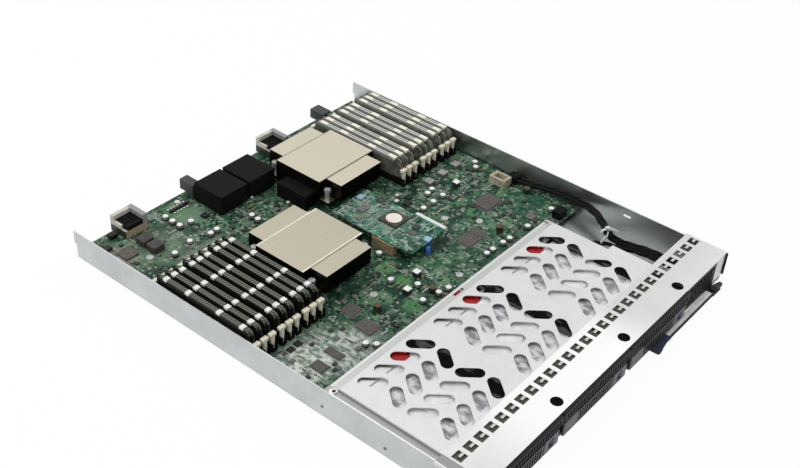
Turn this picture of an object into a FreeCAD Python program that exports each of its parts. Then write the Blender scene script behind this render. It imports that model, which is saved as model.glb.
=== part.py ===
import FreeCAD, Part
import math
import os
import re

import Sketcher

# A high-density server node, in millimetres, +Z up.
# Pieces are drawn from the tray's front left bottom corner: x to the right, y to the rear, z up.
# Their placements then put the part's origin at the middle of the tray's underside.

Vector = FreeCAD.Vector

TRAY = {
    "tray_width": 438.0,
    "tray_depth": 519.0,
    "wall_height": 32.0,
    "metal": 1.2,
    "bend_radius": 1.0,
    "rear_step": 3.0,
    "rear_step_height": 17.0,
    "wall_slot_y": 113.0,
    "wall_slot_z": 21.0,
    "wall_slot_length": 9.0,
    "wall_slot_height": 2.6,
    "bridge_level": 31.0,
    "bridge_metal": 1.0,
    "bridge_depth": 48.0,
    "bridge_reach": 3.4,
    "punch_side": 9.6,
    "punch_tongue": 3.2,
    "punch_tongue_length": 6.0,
    "punch_first": 18.6,
    "punch_pitch": 15.34,
    "punch_row": 36.0,
    "punch_count": 28,
    "peep_radius": 6.2,
    "peep_row": 11.2,
    "peep_left": 129.6,
    "peep_middle": 246.7,
    "peep_right": 352.8,
    "ear_right": 419.5,
    "ear_left_width": 6.0,
    "ear_height": 28.0,
    "skirt_height": 11.0,
    "skirt_length": 34.0,
}

CAGE = {
    "bay_left": 3.2,
    "bay_pitch": 117.05,
    "divider": 1.0,
    "divider_length": 146.5,
    "runner_width": 8.0,
    "runner_height": 1.0,
    "side_x": 355.0,
    "side_length": 169.5,
    "cover_left": 9.6,
    "cover_right": 357.0,
    "cover_front": 48.0,
    "cover_rear": 163.0,
    "rim_left": 1.6,
    "rim_left_level": 28.9,
    "rim_rear": 175.2,
    "rim_rear_level": 28.2,
    "shelf_left": 6.0,
    "shelf_width": 66.0,
    "shelf_front": 148.8,
    "rim_right": 364.0,
    "rim_right_level": 26.0,
    "slot_radius": 6.25,
    "slot_middle": 15.5,
    "slot_turn_down": -50.0,
    "slot_turn_up": 50.0,
    "slot_first": 38.0,
    "slot_pitch": 23.0,
    "slot_group": 111.3,
    "slot_row_up": 61.5,
    "slot_row_down": 90.5,
    "slot_row_pitch": 57.5,
    "backplane_y": 152.0,
    "backplane_thickness": 1.6,
    "backplane_top": 27.5,
    "lead_first": 75.5,
    "lead_pitch": 111.6,
    "lead_plug_width": 15.0,
    "lead_plug_length": 9.0,
    "lead_plug_level": 22.0,
    "lead_plug_height": 6.6,
    "lead_lip_y": 146.9,
    "lead_lip": 0.9,
    "lead_width": 12.0,
    "lead_thickness": 1.6,
    "lead_level": 26.0,
    "lead_window_left": 188.4,
    "lead_window_front": 168.6,
    "lead_window_width": 15.0,
    "lead_window_depth": 3.4,
    "lead_bend": 5.0,
    "lead_turn_y": 174.0,
}

CARRIER = {
    "sled_gap": 1.0,
    "sled_width": 114.5,
    "sled_front": 1.7,
    "sled_length": 146.8,
    "sled_level": 2.6,
    "sled_metal": 0.7,
    "rail": 1.4,
    "rail_height": 25.6,
    "duct_left": 94.0,
    "duct_level": 29.8,
    "duct_metal": 0.8,
    "duct_length": 158.3,
    "hood_depth": 44.3,
    "drive_left": 4.0,
    "drive_front": 2.0,
    "drive_width": 101.6,
    "drive_length": 147.0,
    "drive_height": 26.1,
    "drive_lid": 0.9,
    "drive_lid_inset": 2.5,
    "hub_radius": 13.0,
    "bezel_gap": 0.9,
    "bezel_face": -4.0,
    "bezel_back": -0.3,
    "bezel_top": 31.6,
    "strip_level": 22.4,
    "strip_slot_pitch": 4.5,
    "handle_right": 86.8,
    "handle_level": 2.9,
    "handle_height": 15.9,
    "handle_thickness": 3.1,
    "handle_pin_x": 4.7,
    "handle_pin_y": -2.45,
    "handle_pin_radius": 0.9,
    "pin_play": 0.06,
    "louvre_first": 29.0,
    "louvre_pitch": 4.0,
    "louvre_width": 2.0,
    "catch_left": 88.2,
    "catch_width": 23.0,
    "scoop_radius": 6.0,
}

LEVER = {
    "vent_left": 356.0,
    "vent_right": 419.5,
    "vent_level": 2.7,
    "vent_thickness": 2.0,
    "hex_radius": 2.4,
    "hex_pitch": 5.2,
    "hex_row_pitch": 9.0,
    "pivot_x": 411.5,
    "pivot_y": -5.5,
    "pivot_radius": 2.4,
    "pivot_play": 0.06,
    "pivot_head": 4.0,
    "notch_left": 399.0,
    "notch_width": 35.5,
    "notch_depth": 12.6,
    "bracket_metal": 0.8,
    "tongue_left": 403.0,
    "tongue_width": 17.0,
    "tongue_reach": 10.5,
    "lever_level": 1.15,
    "lever_metal": 1.1,
    "grip_joint": 313.0,
}

BOARD = {
    "board_left": 3.0,
    "board_right": 435.0,
    "board_front": 176.0,
    "board_rear": 518.5,
    "board_level": 5.2,
    "board_thickness": 1.6,
    "board_top": 6.8,
    "board_hole": 1.8,
    "standoff_radius": 3.2,
    "screw_head": 3.2,
    "screw_head_height": 1.8,
    "cover_screw_x": 5.9,
    "cover_screw_y": 166.0,
    "sink_left_x": 149.2,
    "sink_left_y": 327.6,
    "sink_right_x": 278.2,
    "sink_right_y": 423.1,
    "socket_side": 52.0,
    "socket_height": 3.4,
    "package_height": 1.8,
    "lid_height": 1.5,
    "sink_level": 13.5,
    "sink_width": 90.2,
    "sink_base_depth": 92.0,
    "sink_base": 3.5,
    "sink_middle": 65.5,
    "sink_wing": 67.5,
    "sink_depth": 108.4,
    "fin_thickness": 0.5,
    "fin_pitch": 2.68,
    "fin_count": 26,
    "fin_height": 21.0,
    "outer_fin_pitch": 2.9,
    "outer_fin_count": 4,
    "wing_skin": 0.5,
    "middle_skin": 1.0,
    "sink_screw_x": 40.0,
    "sink_screw_y": 40.0,
    "sink_hole": 2.2,
    "sleeve_radius": 3.0,
    "sleeve_height": 10.0,
}

MEMORY = {
    "module_length": 133.35,
    "module_level": 9.0,
    "module_height": 29.6,
    "module_board": 1.4,
    "spreader": 5.4,
    "spreader_length": 127.0,
    "spreader_level": 15.4,
    "spreader_height": 23.0,
    "spreader_corner": 6.5,
    "left_first": 7.4,
    "left_pitch": 10.3,
    "left_group": 33.6,
    "left_middle": 333.0,
    "right_first": 331.2,
    "right_pitch": 10.4,
    "right_group": 35.8,
    "right_middle": 419.5,
    "slot_body": 6.6,
    "slot_body_length": 132.8,
    "slot_body_height": 8.0,
    "slot_end": 9.1,
    "slot_end_height": 9.4,
    "slot_reach": 73.5,
    "clip_near": 21.2,
    "clip_far": 52.2,
    "clip_width": 6.4,
    "clip_level": 36.0,
    "clip_wall": 0.7,
    "latch_pivot": 69.5,
    "latch_pivot_z": 10.0,
    "latch_width": 3.6,
    "latch_depth": 3.2,
    "latch_stem": 17.4,
    "latch_cap_width": 6.4,
    "latch_cap_depth": 5.0,
    "latch_cap": 2.8,
}

PARTS = {
    "card_left": 221.0,
    "card_front": 250.0,
    "card_width": 59.0,
    "card_depth": 112.0,
    "card_level": 18.4,
    "card_thickness": 1.6,
    "post_radius": 3.4,
    "post_pin": 1.5,
    "post_front_x": 253.0,
    "post_front_y": 253.0,
    "post_rear_x": 263.5,
    "post_rear_y": 356.0,
    "chip_left": 244.0,
    "chip_front": 290.5,
    "chip_width": 24.2,
    "chip_depth": 23.8,
    "chip_height": 2.4,
    "power_left": 48.5,
    "power_right": 265.6,
    "power_front": 496.0,
    "power_width": 29.0,
    "power_depth": 25.0,
    "power_height": 19.4,
    "power_ledge": 9.2,
    "power_rear_wall": 4.6,
    "power_left_wall": 2.6,
    "power_left_drop": 5.5,
    "power_right_wall": 6.0,
    "insert_height": 5.2,
    "insert_slit": 1.2,
    "insert_slit_pitch": 4.4,
    "tall_left": 147.0,
    "tall_right": 190.0,
    "tall_front": 455.0,
    "tall_width": 39.0,
    "tall_depth": 43.0,
    "tall_height": 23.2,
    "low_left": 215.5,
    "low_front": 396.0,
    "low_width": 17.6,
    "low_depth": 42.5,
    "low_height": 18.2,
    "guide_left": 146.4,
    "guide_left_width": 11.2,
    "guide_left_depth": 20.8,
    "guide_left_raise": 5.6,
    "guide_foot": 4.0,
    "guide_right": 359.8,
    "guide_right_width": 14.4,
    "guide_right_depth": 20.8,
    "guide_right_raise": 6.4,
    "guide_front": 500.2,
    "guide_height": 18.2,
    "guide_bore": 3.6,
    "guide_bore_z": 18.4,
    "cap_radius": 3.2,
    "cap_height": 5.2,
    "square_can": 7.4,
    "square_can_height": 7.0,
    "inductor_side": 14.0,
    "inductor_height": 8.0,
    "header_left": 405.5,
    "header_front": 260.5,
    "header_width": 15.0,
    "header_depth": 21.5,
    "header_height": 9.2,
    "cable_radius": 2.4,
    "cable_spread": 3.1,
    "drive_cable_radius": 2.4,
    "tie_x": 405.8,
    "tie_y": 123.1,
    "tie_z": 14.97,
    "tie_turn": -38.2,
    "tie_width": 3.0,
    "tie_wall": 1.0,
}

DIMENSIONS = {**TRAY, **CAGE, **CARRIER, **LEVER, **BOARD, **MEMORY, **PARTS}

doc = FreeCAD.newDocument("server_node")
dim = doc.addObject("Spreadsheet::Sheet", "Dim")
for row, (alias, value) in enumerate(DIMENSIONS.items(), 1):
    dim.set(f"A{row}", alias)
    dim.set(f"B{row}", str(value))
    dim.setAlias(f"B{row}", alias)
doc.recompute()

nodes = []
WORD = re.compile(r"[a-z][a-z_0-9]*")


# Helpers: expressions, primitives and booleans
def named(expression):
    """Points each dimension's name in an expression at its cell of the sheet."""
    def cell(match):
        word = match.group()
        return "Dim." + word if word in DIMENSIONS else word
    return WORD.sub(cell, str(expression))


def bind(obj, **sizes):
    """Ties an object's properties to expressions of the sheet."""
    for prop, expression in sizes.items():
        obj.setExpression(prop, named(expression))
    return obj


def move(obj, x=0, y=0, z=0):
    """Ties an object's position to expressions of the sheet."""
    for axis, expression in zip("xyz", (x, y, z)):
        obj.setExpression(f"Placement.Base.{axis}", named(expression))
    return obj


def box(x, y, z, dx, dy, dz):
    """A block with one corner at x, y, z."""
    obj = doc.addObject("Part::Box", "Block")
    bind(obj, Length=dx, Width=dy, Height=dz)
    return move(obj, x, y, z)


TURNS = {
    "x": FreeCAD.Rotation(Vector(1, 1, 1), 120),
    "y": FreeCAD.Rotation(Vector(1, 0, 0), -90),
    "z": FreeCAD.Rotation(),
}


def rod(x, y, z, radius, length, axis="z", angle=360):
    """A cylinder, or a sector of one, that starts at x, y, z and runs along an axis."""
    obj = doc.addObject("Part::Cylinder", "Rod")
    bind(obj, Radius=radius, Height=length)
    obj.Angle = angle
    obj.Placement = FreeCAD.Placement(Vector(), TURNS[axis])
    return move(obj, x, y, z)


def prism(x, y, z, radius, height, sides=6):
    """An upright bar with flat sides that starts at x, y, z."""
    obj = doc.addObject("Part::Prism", "Bar")
    obj.Polygon = sides
    bind(obj, Circumradius=radius, Height=height)
    return move(obj, x, y, z)


def group(*parts):
    """Separate solids that make up one sub-part."""
    obj = doc.addObject("Part::Compound", "Group")
    obj.Links = list(parts)
    return obj


def fuse(*parts):
    """One solid out of several."""
    obj = doc.addObject("Part::MultiFuse", "Fusion")
    obj.Shapes = list(parts)
    obj.Refine = True
    return obj


def cut(base, *tools):
    """A solid with others taken out of it."""
    obj = doc.addObject("Part::Cut", "Cut")
    obj.Base = base
    obj.Tool = tools[0] if len(tools) == 1 else group(*tools)
    return obj


def edges(kind, base, size, chosen):
    """Rounds or chamfers those edges of a solid that a test picks out."""
    doc.recompute()
    obj = doc.addObject(kind, "Edges")
    obj.Base = base
    picked = [n for n, edge in enumerate(base.Shape.Edges, 1) if chosen(edge)]
    obj.Edges = [(n, size, size) for n in picked]
    return obj


def copies(original, spots):
    """Links to one solid at several places, each place bound to the sheet."""
    made = []
    for x, y in spots:
        link = doc.addObject("App::Link", "Copy")
        link.LinkedObject = original
        move(link, x, y)
        made.append(link)
    return made


def node(obj, label, x="0", y="0", z="0"):
    """Names a finished sub-part and places it about the part's origin."""
    obj.Label = label
    move(obj, f"{x} - tray_width / 2", f"{y} - tray_depth / 2", z)
    nodes.append(obj)
    return obj


# Helpers: bodies, sketches, pads and patterns
def body_of(label):
    """A body whose features build one sub-part."""
    return doc.addObject("PartDesign::Body", label + "_body")


def origin(body, role):
    """A plane or an axis of a body's own origin."""
    return [f for f in body.Origin.OriginFeatures if f.Role == role][0]


def sketch_on(body, x, y, z, role="XY_Plane", turn=None):
    """A sketch on a body's plane, moved by the plane's own x, y and height."""
    sketch = body.newObject("Sketcher::SketchObject", "Sketch")
    sketch.AttachmentSupport = (origin(body, role), [""])
    sketch.MapMode = "FlatFace"
    for axis, expression in zip("xyz", (x, y, z)):
        sketch.setExpression(f"AttachmentOffset.Base.{axis}", named(expression))
    if turn:
        sketch.setExpression("AttachmentOffset.Rotation.Angle", named(turn))
    return sketch


def constrain(sketch, name, expression, *what):
    """A sized constraint that follows the sheet."""
    index = sketch.addConstraint(Sketcher.Constraint(*what))
    sketch.renameConstraint(index, name)
    sketch.setExpression(f"Constraints.{name}", named(expression))


def outline(sketch, points):
    """A closed outline; each corner is a pair of a first guess and an expression per axis."""
    count = len(points)
    spots = [Vector(p[0][0], p[1][0], 0) for p in points]
    for n in range(count):
        sketch.addGeometry(Part.LineSegment(spots[n], spots[(n + 1) % count]))
    for n in range(count):
        sketch.addConstraint(Sketcher.Constraint("Coincident", n, 2, (n + 1) % count, 1))
    for n, (across, along) in enumerate(points):
        constrain(sketch, f"x_{n}", across[1], "DistanceX", -1, 1, n, 1, spots[n].x)
        constrain(sketch, f"y_{n}", along[1], "DistanceY", -1, 1, n, 1, spots[n].y)
    return sketch


def value_of(expression):
    """The number that an expression of the sheet's names and plain arithmetic stands for."""
    scratch = box(0, 0, 0, 1, 1, 1)
    bind(scratch, Height=f"1000 + ({expression})")
    doc.recompute()
    found = scratch.Height.Value - 1000
    doc.removeObject(scratch.Name)
    return found


def corners(*points):
    """Corners given as plain numbers or expressions, with the number as the first guess."""
    made = []
    for pair in points:
        made.append([(float(p) if isinstance(p, (int, float)) else value_of(p), p) for p in pair])
    return made


def rectangle(sketch, width, depth):
    """A rectangle from the sketch's own origin."""
    w = value_of(width)
    d = value_of(depth)
    spots = [Vector(0, 0, 0), Vector(w, 0, 0), Vector(w, d, 0), Vector(0, d, 0)]
    for n in range(4):
        sketch.addGeometry(Part.LineSegment(spots[n], spots[(n + 1) % 4]))
    for n in range(4):
        sketch.addConstraint(Sketcher.Constraint("Coincident", n, 2, (n + 1) % 4, 1))
    for n in range(4):
        sketch.addConstraint(Sketcher.Constraint("Vertical" if n % 2 else "Horizontal", n))
    sketch.addConstraint(Sketcher.Constraint("Coincident", 0, 1, -1, 1))
    constrain(sketch, "width", width, "DistanceX", 0, 1, 0, 2, w)
    constrain(sketch, "depth", depth, "DistanceY", 1, 1, 1, 2, d)
    return sketch


def circle(sketch, radius):
    """A circle about the sketch's own origin."""
    r = value_of(radius)
    sketch.addGeometry(Part.Circle(Vector(), Vector(0, 0, 1), r))
    sketch.addConstraint(Sketcher.Constraint("Coincident", 0, 3, -1, 1))
    constrain(sketch, "radius", radius, "Radius", 0, r)
    return sketch


def obround(sketch, radius, middle):
    """A slot with round ends about the sketch's own origin, long along its x."""
    r = value_of(radius)
    h = value_of(middle) / 2
    up = Vector(0, 0, 1)
    quarter = math.pi / 2
    sketch.addGeometry(Part.ArcOfCircle(Part.Circle(Vector(-h, 0, 0), up, r), quarter, 3 * quarter))
    sketch.addGeometry(Part.LineSegment(Vector(-h, -r, 0), Vector(h, -r, 0)))
    sketch.addGeometry(Part.ArcOfCircle(Part.Circle(Vector(h, 0, 0), up, r), -quarter, quarter))
    sketch.addGeometry(Part.LineSegment(Vector(h, r, 0), Vector(-h, r, 0)))
    for one, other in ((0, 1), (1, 2), (2, 3), (3, 0)):
        sketch.addConstraint(Sketcher.Constraint("Tangent", one, 2, other, 1))
    sketch.addConstraint(Sketcher.Constraint("Equal", 0, 2))
    sketch.addConstraint(Sketcher.Constraint("Horizontal", 1))
    sketch.addConstraint(Sketcher.Constraint("Symmetric", 0, 3, 2, 3, -1, 1))
    constrain(sketch, "radius", radius, "Radius", 0, r)
    constrain(sketch, "middle", middle, "DistanceX", 0, 3, 2, 3, 2 * h)
    return sketch


def hexagon(sketch, radius):
    """A regular hexagon about the sketch's own origin, a corner on its y."""
    r = value_of(radius)
    spots = [Vector(r * math.sin(math.pi * n / 3), r * math.cos(math.pi * n / 3), 0) for n in range(6)]
    for n in range(6):
        sketch.addGeometry(Part.LineSegment(spots[n], spots[(n + 1) % 6]))
    ring = sketch.addGeometry(Part.Circle(Vector(), Vector(0, 0, 1), r), True)
    for n in range(6):
        sketch.addConstraint(Sketcher.Constraint("Coincident", n, 2, (n + 1) % 6, 1))
    for n in range(6):
        sketch.addConstraint(Sketcher.Constraint("PointOnObject", n, 1, ring))
    for n in range(5):
        sketch.addConstraint(Sketcher.Constraint("Equal", n, n + 1))
    sketch.addConstraint(Sketcher.Constraint("Coincident", ring, 3, -1, 1))
    sketch.addConstraint(Sketcher.Constraint("PointOnObject", 0, 1, -2))
    constrain(sketch, "radius", radius, "Radius", ring, r)
    return sketch


def pad(body, sketch, length, down=False):
    """Material from a sketch along its normal, or against it."""
    feature = body.newObject("PartDesign::Pad", "Pad")
    feature.Profile = sketch
    feature.Reversed = down
    return bind(feature, Length=length)


def pocket(body, sketch, length):
    """Material taken away from a sketch, against its normal."""
    feature = body.newObject("PartDesign::Pocket", "Pocket")
    feature.Profile = sketch
    return bind(feature, Length=length)


def row_of(body, feature, axis, pitch, count):
    """A feature repeated along one axis."""
    pattern = body.newObject("PartDesign::LinearPattern", "Row")
    pattern.Originals = [feature]
    pattern.Direction = (origin(body, axis), [""])
    bind(pattern, Length=f"({pitch}) * ({count} - 1)", Occurrences=count)
    body.Tip = pattern
    return pattern


def grid_of(body, feature, *steps):
    """A feature repeated along several axes, one after another."""
    whole = body.newObject("PartDesign::MultiTransform", "Grid")
    rows = []
    for axis, pitch, count in steps:
        pattern = body.newObject("PartDesign::LinearPattern", "Step")
        pattern.Direction = (origin(body, axis), [""])
        bind(pattern, Length=f"({pitch}) * ({count} - 1)", Occurrences=count)
        rows.append(pattern)
    whole.Originals = [feature]
    whole.Transformations = rows
    body.Tip = whole
    return whole


# Tray: a bent pan, its walls stepped at the rear and lowered under the bridge
floor = box(0, 0, 0, "tray_width", "tray_depth - rear_step", "metal")
walls = []
tray_cuts = []
for wall_x in ("0", "tray_width - metal"):
    walls.append(box(wall_x, 0, 0, "metal", "tray_depth", "wall_height"))
    step = box(f"{wall_x} - 1", "tray_depth - rear_step", -1, "metal + 2", "rear_step + 1", "rear_step_height + 1")
    seat = box(f"{wall_x} - 1", -1, "bridge_level", "metal + 2", "bridge_depth + 1.2", 3)
    ear_seat = box(f"{wall_x} - 1", -1, "bridge_level - ear_height", "metal + 2", "1 + bridge_metal", "ear_height")
    tray_cuts += [step, fuse(seat, ear_seat)]
tray_cuts.append(box("notch_left", -1, -1, "notch_width", "notch_depth + 1", 4))
wall_slot_x = "tray_width - metal - 1"
tray_cuts.append(box(wall_slot_x, "wall_slot_y", "wall_slot_z", "metal + 2", "wall_slot_length", "wall_slot_height"))
pan = cut(fuse(floor, *walls), *tray_cuts)


def under_edge(edge):
    """The two long bends where the walls meet the floor."""
    span = edge.BoundBox
    at_side = span.XMax < 0.01 or span.XMin > DIMENSIONS["tray_width"] - 0.01
    return at_side and span.ZMax < 0.01 and span.YLength > 100


node(edges("Part::Fillet", pan, DIMENSIONS["bend_radius"], under_edge), "tray")

# Front bridge: pierced sheet over the drive bays, with ears and skirts
bridge = body_of("front_bridge")
plate = rectangle(sketch_on(bridge, "-bridge_reach", 0, "bridge_level"), "tray_width + 2 * bridge_reach", "bridge_depth")
pad(bridge, plate, "bridge_metal")
right_ear = sketch_on(bridge, "ear_right", 0, "bridge_level")
pad(bridge, rectangle(right_ear, "tray_width + bridge_reach - ear_right", "bridge_metal"), "ear_height", down=True)
left_ear = sketch_on(bridge, "-bridge_reach", 0, "bridge_level")
pad(bridge, rectangle(left_ear, "ear_left_width", "bridge_metal"), "ear_height", down=True)
for skirt_x in ("metal", "tray_width - metal - bridge_metal"):
    skirt = sketch_on(bridge, skirt_x, 12, "bridge_level")
    pad(bridge, rectangle(skirt, "bridge_metal", "skirt_length"), "skirt_height", down=True)
bridge_top = "bridge_level + bridge_metal"
for peep in ("peep_left", "peep_middle", "peep_right"):
    pocket(bridge, circle(sketch_on(bridge, peep, "peep_row", bridge_top), "peep_radius"), "2 * bridge_metal")
punch = sketch_on(bridge, "punch_first - punch_side / 2 - 1", "punch_row - punch_side / 2 - 1", bridge_top)
punch_near = "1 + (punch_side - punch_tongue) / 2"
punch_far = "1 + (punch_side + punch_tongue) / 2"
punch_tip = "1 + punch_side - punch_tongue_length"
punch_end = "1 + punch_side"
outline(punch, corners(
    (1, 1), (punch_end, 1), (punch_end, punch_near), (punch_tip, punch_near),
    (punch_tip, punch_far), (punch_end, punch_far), (punch_end, punch_end), (1, punch_end)))
row_of(bridge, pocket(bridge, punch, "2 * bridge_metal"), "X_Axis", "punch_pitch", "punch_count")
node(bridge, "front_bridge")

# Cage cover: slotted sheet with three lowered rims
lid = body_of("cage_cover")
lid_plan = sketch_on(lid, "cover_left", "cover_front", "bridge_level")
pad(lid, rectangle(lid_plan, "cover_right - cover_left", "cover_rear - cover_front + bridge_metal"), "bridge_metal")
for slot_y, turn in (("slot_row_down", "slot_turn_down"), ("slot_row_up", "slot_turn_up")):
    slot = obround(sketch_on(lid, "slot_first", slot_y, bridge_top, turn=turn), "slot_radius", "slot_middle")
    slot_cut = pocket(lid, slot, "2 * bridge_metal")
    grid_of(lid, slot_cut,
            ("X_Axis", "slot_pitch", 4), ("X_Axis", "slot_group", 3), ("Y_Axis", "slot_row_pitch", 2))
rim_depth = "rim_rear - cover_front"
left_rim = fuse(
    box("rim_left", "cover_front", "rim_left_level", "cover_left + bridge_metal - rim_left", rim_depth, "bridge_metal"),
    box("cover_left", "cover_front", "rim_left_level", "bridge_metal", "cover_rear + bridge_metal - cover_front",
        "bridge_level - rim_left_level"))
rear_rim = fuse(
    box("cover_left", "cover_rear", "rim_rear_level", "side_x - cover_left", "rim_rear - cover_rear", "bridge_metal"),
    box("cover_left", "cover_rear", "rim_rear_level", "side_x - cover_left", "bridge_metal",
        "bridge_level - rim_rear_level"))
right_rim = fuse(
    box("cover_right - bridge_metal", "cover_front", "rim_right_level", "rim_right - cover_right + bridge_metal",
        rim_depth, "bridge_metal"),
    box("cover_right - bridge_metal", "cover_front", "rim_right_level", "bridge_metal", rim_depth,
        "bridge_level - rim_right_level"))
rear_left = box("cover_left", "cover_rear", "rim_rear_level", "bridge_metal", "rim_rear - cover_rear",
                "rim_left_level - rim_rear_level + bridge_metal")
shelves = []
for n in range(3):
    shelf_x = f"bay_left + slot_group * {n} + shelf_left"
    shelves.append(box(shelf_x, "shelf_front", "rim_rear_level", "shelf_width", "cover_rear - shelf_front + 0.5",
                       "bridge_metal"))
cover_hole = rod("cover_screw_x", "cover_screw_y", "rim_left_level - 1", 1.6, 4)
lead_window = box("lead_window_left", "lead_window_front", "rim_rear_level - 1", "lead_window_width", "lead_window_depth", 3)
node(cut(fuse(lid, left_rim, rear_rim, right_rim, rear_left, *shelves), cover_hole, lead_window), "cage_cover")

# Cage walls: two dividers with runners that the sleds slide on, and the side wall
cage_height = "bridge_level - metal"
dividers = [box(4, 2, "metal", "runner_width", "divider_length", "runner_height")]
for n in (1, 2):
    middle = f"bay_left + bay_pitch * {n}"
    upright = box(f"{middle} - divider / 2", 2, "metal", "divider", "divider_length", cage_height)
    feet = box(f"{middle} - runner_width", 2, "metal", "2 * runner_width", "divider_length", "runner_height")
    dividers.append(fuse(upright, feet))
node(group(*dividers), "cage_dividers")
side_wall = box("side_x", 0, "metal", "divider", "side_length", cage_height)
side_foot = box("side_x - runner_width", 2, "metal", "runner_width + 0.5", "divider_length", "runner_height")
node(fuse(side_wall, side_foot), "cage_side")

# Backplane: upright board with a socket and an air window for each bay
backplane_left = "bay_left + 0.8"
backplane_width = "bay_pitch * 3 - 1.6"
backplane_base = box(backplane_left, "backplane_y", "metal", backplane_width, "backplane_thickness", "backplane_top - metal")
backplane_sockets = []
air_windows = []
for n in range(3):
    bay = f"bay_left + bay_pitch * {n}"
    backplane_sockets.append(box(f"{bay} + 22", "backplane_y - 2.7", 5, 42, 2.7, 8))
    air_windows.append(box(f"{bay} + 12", "backplane_y - 1", 16, 58, "backplane_thickness + 2", 7.5))
    air_windows.append(box(f"{bay} + 93", "backplane_y - 1", 6, 18, "backplane_thickness + 2", 17.5))
node(fuse(cut(backplane_base, *air_windows), *backplane_sockets), "drive_backplane")

# Leads: a plug behind the backplane and a flat lead that bends down to the board
leads = []
plug_y = "backplane_y + backplane_thickness"
lead_outer = "lead_bend + lead_thickness"
lead_drop = "lead_level - lead_bend"
for n in range(3):
    plug_x = f"lead_first + lead_pitch * {n}"
    lead_x = f"{plug_x} + (lead_plug_width - lead_width) / 2"
    plug = box(plug_x, plug_y, "lead_plug_level", "lead_plug_width", "lead_plug_length", "lead_plug_height")
    lip = box(plug_x, "lead_lip_y", "lead_plug_level + lead_plug_height - lead_lip", "lead_plug_width",
              f"{plug_y} - lead_lip_y + 0.1", "lead_lip")
    flat = box(lead_x, plug_y, "lead_level", "lead_width", f"lead_turn_y - ({plug_y})", "lead_thickness")
    bend = cut(rod(lead_x, "lead_turn_y", lead_drop, lead_outer, "lead_width", "x", 90),
               rod(f"{lead_x} - 1", "lead_turn_y", lead_drop, "lead_bend", "lead_width + 2", "x", 90))
    drop = box(lead_x, "lead_turn_y + lead_bend", "board_top", "lead_width", "lead_thickness", f"{lead_drop} - board_top")
    foot = box(f"{lead_x} - 1", "lead_turn_y + 3", "board_top", "lead_width + 2", 5.5, 4)
    leads.append(fuse(plug, lip, flat, bend, drop, foot))
node(group(*leads), "sata_leads")

# Drive carriers: sled, drive, bezel with its pin, swinging handle and sliding catch
sled_right = "sled_gap + sled_width"
for n in range(3):
    bay = f"bay_left + bay_pitch * {n}"
    mark = n + 1
    pan = box("sled_gap", "sled_front", "sled_level", "sled_width", "sled_length", "sled_metal")
    left_rail = box("sled_gap", "sled_front", "sled_level", "rail", "sled_length", "rail_height")
    right_rail = box(f"{sled_right} - rail", "sled_front", "sled_level", "rail", "sled_length",
                     "duct_level + duct_metal - sled_level")
    duct = box("duct_left", "sled_front", "duct_level", f"{sled_right} - duct_left", "duct_length", "duct_metal")
    hood = box("sled_gap", "sled_front", "duct_level", "sled_width", "hood_depth", "duct_metal")
    holes = [box(18, f"{y} + sled_front", "sled_level - 1", 70, 40, 3) for y in (24, 84)]
    node(cut(fuse(pan, left_rail, right_rail, duct, hood), *holes), f"carrier_frame_{mark}", bay)

    drive_level = "sled_level + sled_metal"
    case_height = "drive_height - 2 * drive_lid"
    case = box("drive_left", "drive_front", drive_level, "drive_width", "drive_length", case_height)
    drive_lid = box("drive_left + drive_lid_inset", "drive_front + drive_lid_inset", f"{drive_level} + {case_height}",
                    "drive_width - 2 * drive_lid_inset", "drive_length - 2 * drive_lid_inset", "drive_lid")
    hub = rod("drive_left + drive_width / 2", "drive_front + 92", f"{drive_level} + {case_height}",
              "hub_radius", "2 * drive_lid")
    node(fuse(case, drive_lid, hub), f"hard_drive_{mark}", bay)

    back = box("bezel_gap", "bezel_back", "sled_level", "bay_pitch - 2 * bezel_gap", "sled_front - bezel_back",
               "bezel_top - sled_level - 1")
    intake = box(29, "bezel_back - 1", 5.5, 56, 5, 11)
    catch_window = box("catch_left + 7.3", "bezel_back - 1", 7.4, 11, 5, 7.2)
    strip = box("bezel_gap", "bezel_face", "strip_level", "bay_pitch - 2 * bezel_gap", "bezel_back - bezel_face + 0.1",
                "bezel_top - strip_level")
    strip_slots = []
    for k in range(24):
        strip_slots.append(box(f"5.5 + {k} * strip_slot_pitch", "bezel_face - 1", "strip_level + 1.6", 2.6,
                               "bezel_back - bezel_face", 5.4))
    pin = rod("handle_pin_x", "handle_pin_y", "handle_level", "handle_pin_radius", "strip_level - handle_level + 0.1")
    bezel = fuse(cut(back, intake, catch_window), cut(strip, *strip_slots), pin)
    node(bezel, f"carrier_bezel_{mark}", bay)

    bar = fuse(box("handle_pin_x", "bezel_face", "handle_level", "handle_right - handle_pin_x", "handle_thickness",
                   "handle_height"),
               rod("handle_pin_x", "bezel_face + handle_thickness / 2", "handle_level", "handle_thickness / 2",
                   "handle_height"))
    louvres = [box(f"louvre_first + {k} * louvre_pitch", "bezel_face - 1", "handle_level + 2.2", "louvre_width",
                   "handle_thickness + 2", "handle_height - 4.4") for k in range(14)]
    pivot = rod("handle_pin_x", "handle_pin_y", "handle_level - 1", "handle_pin_radius + pin_play", "handle_height + 2")
    node(cut(bar, pivot, *louvres), f"carrier_handle_{mark}", bay)

    block = box("catch_left", "bezel_face", "handle_level", "catch_width", "handle_thickness", "handle_height")
    scoop = rod("catch_left + catch_width / 2", "bezel_face - scoop_radius + 2", "handle_level + 3",
                "scoop_radius", "handle_height - 6")
    stem = box("catch_left + 7.8", "bezel_face + handle_thickness - 0.1", 7.8, 6, 2.4, 6.4)
    node(fuse(cut(block, scoop), stem), f"carrier_latch_{mark}", bay)

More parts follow.
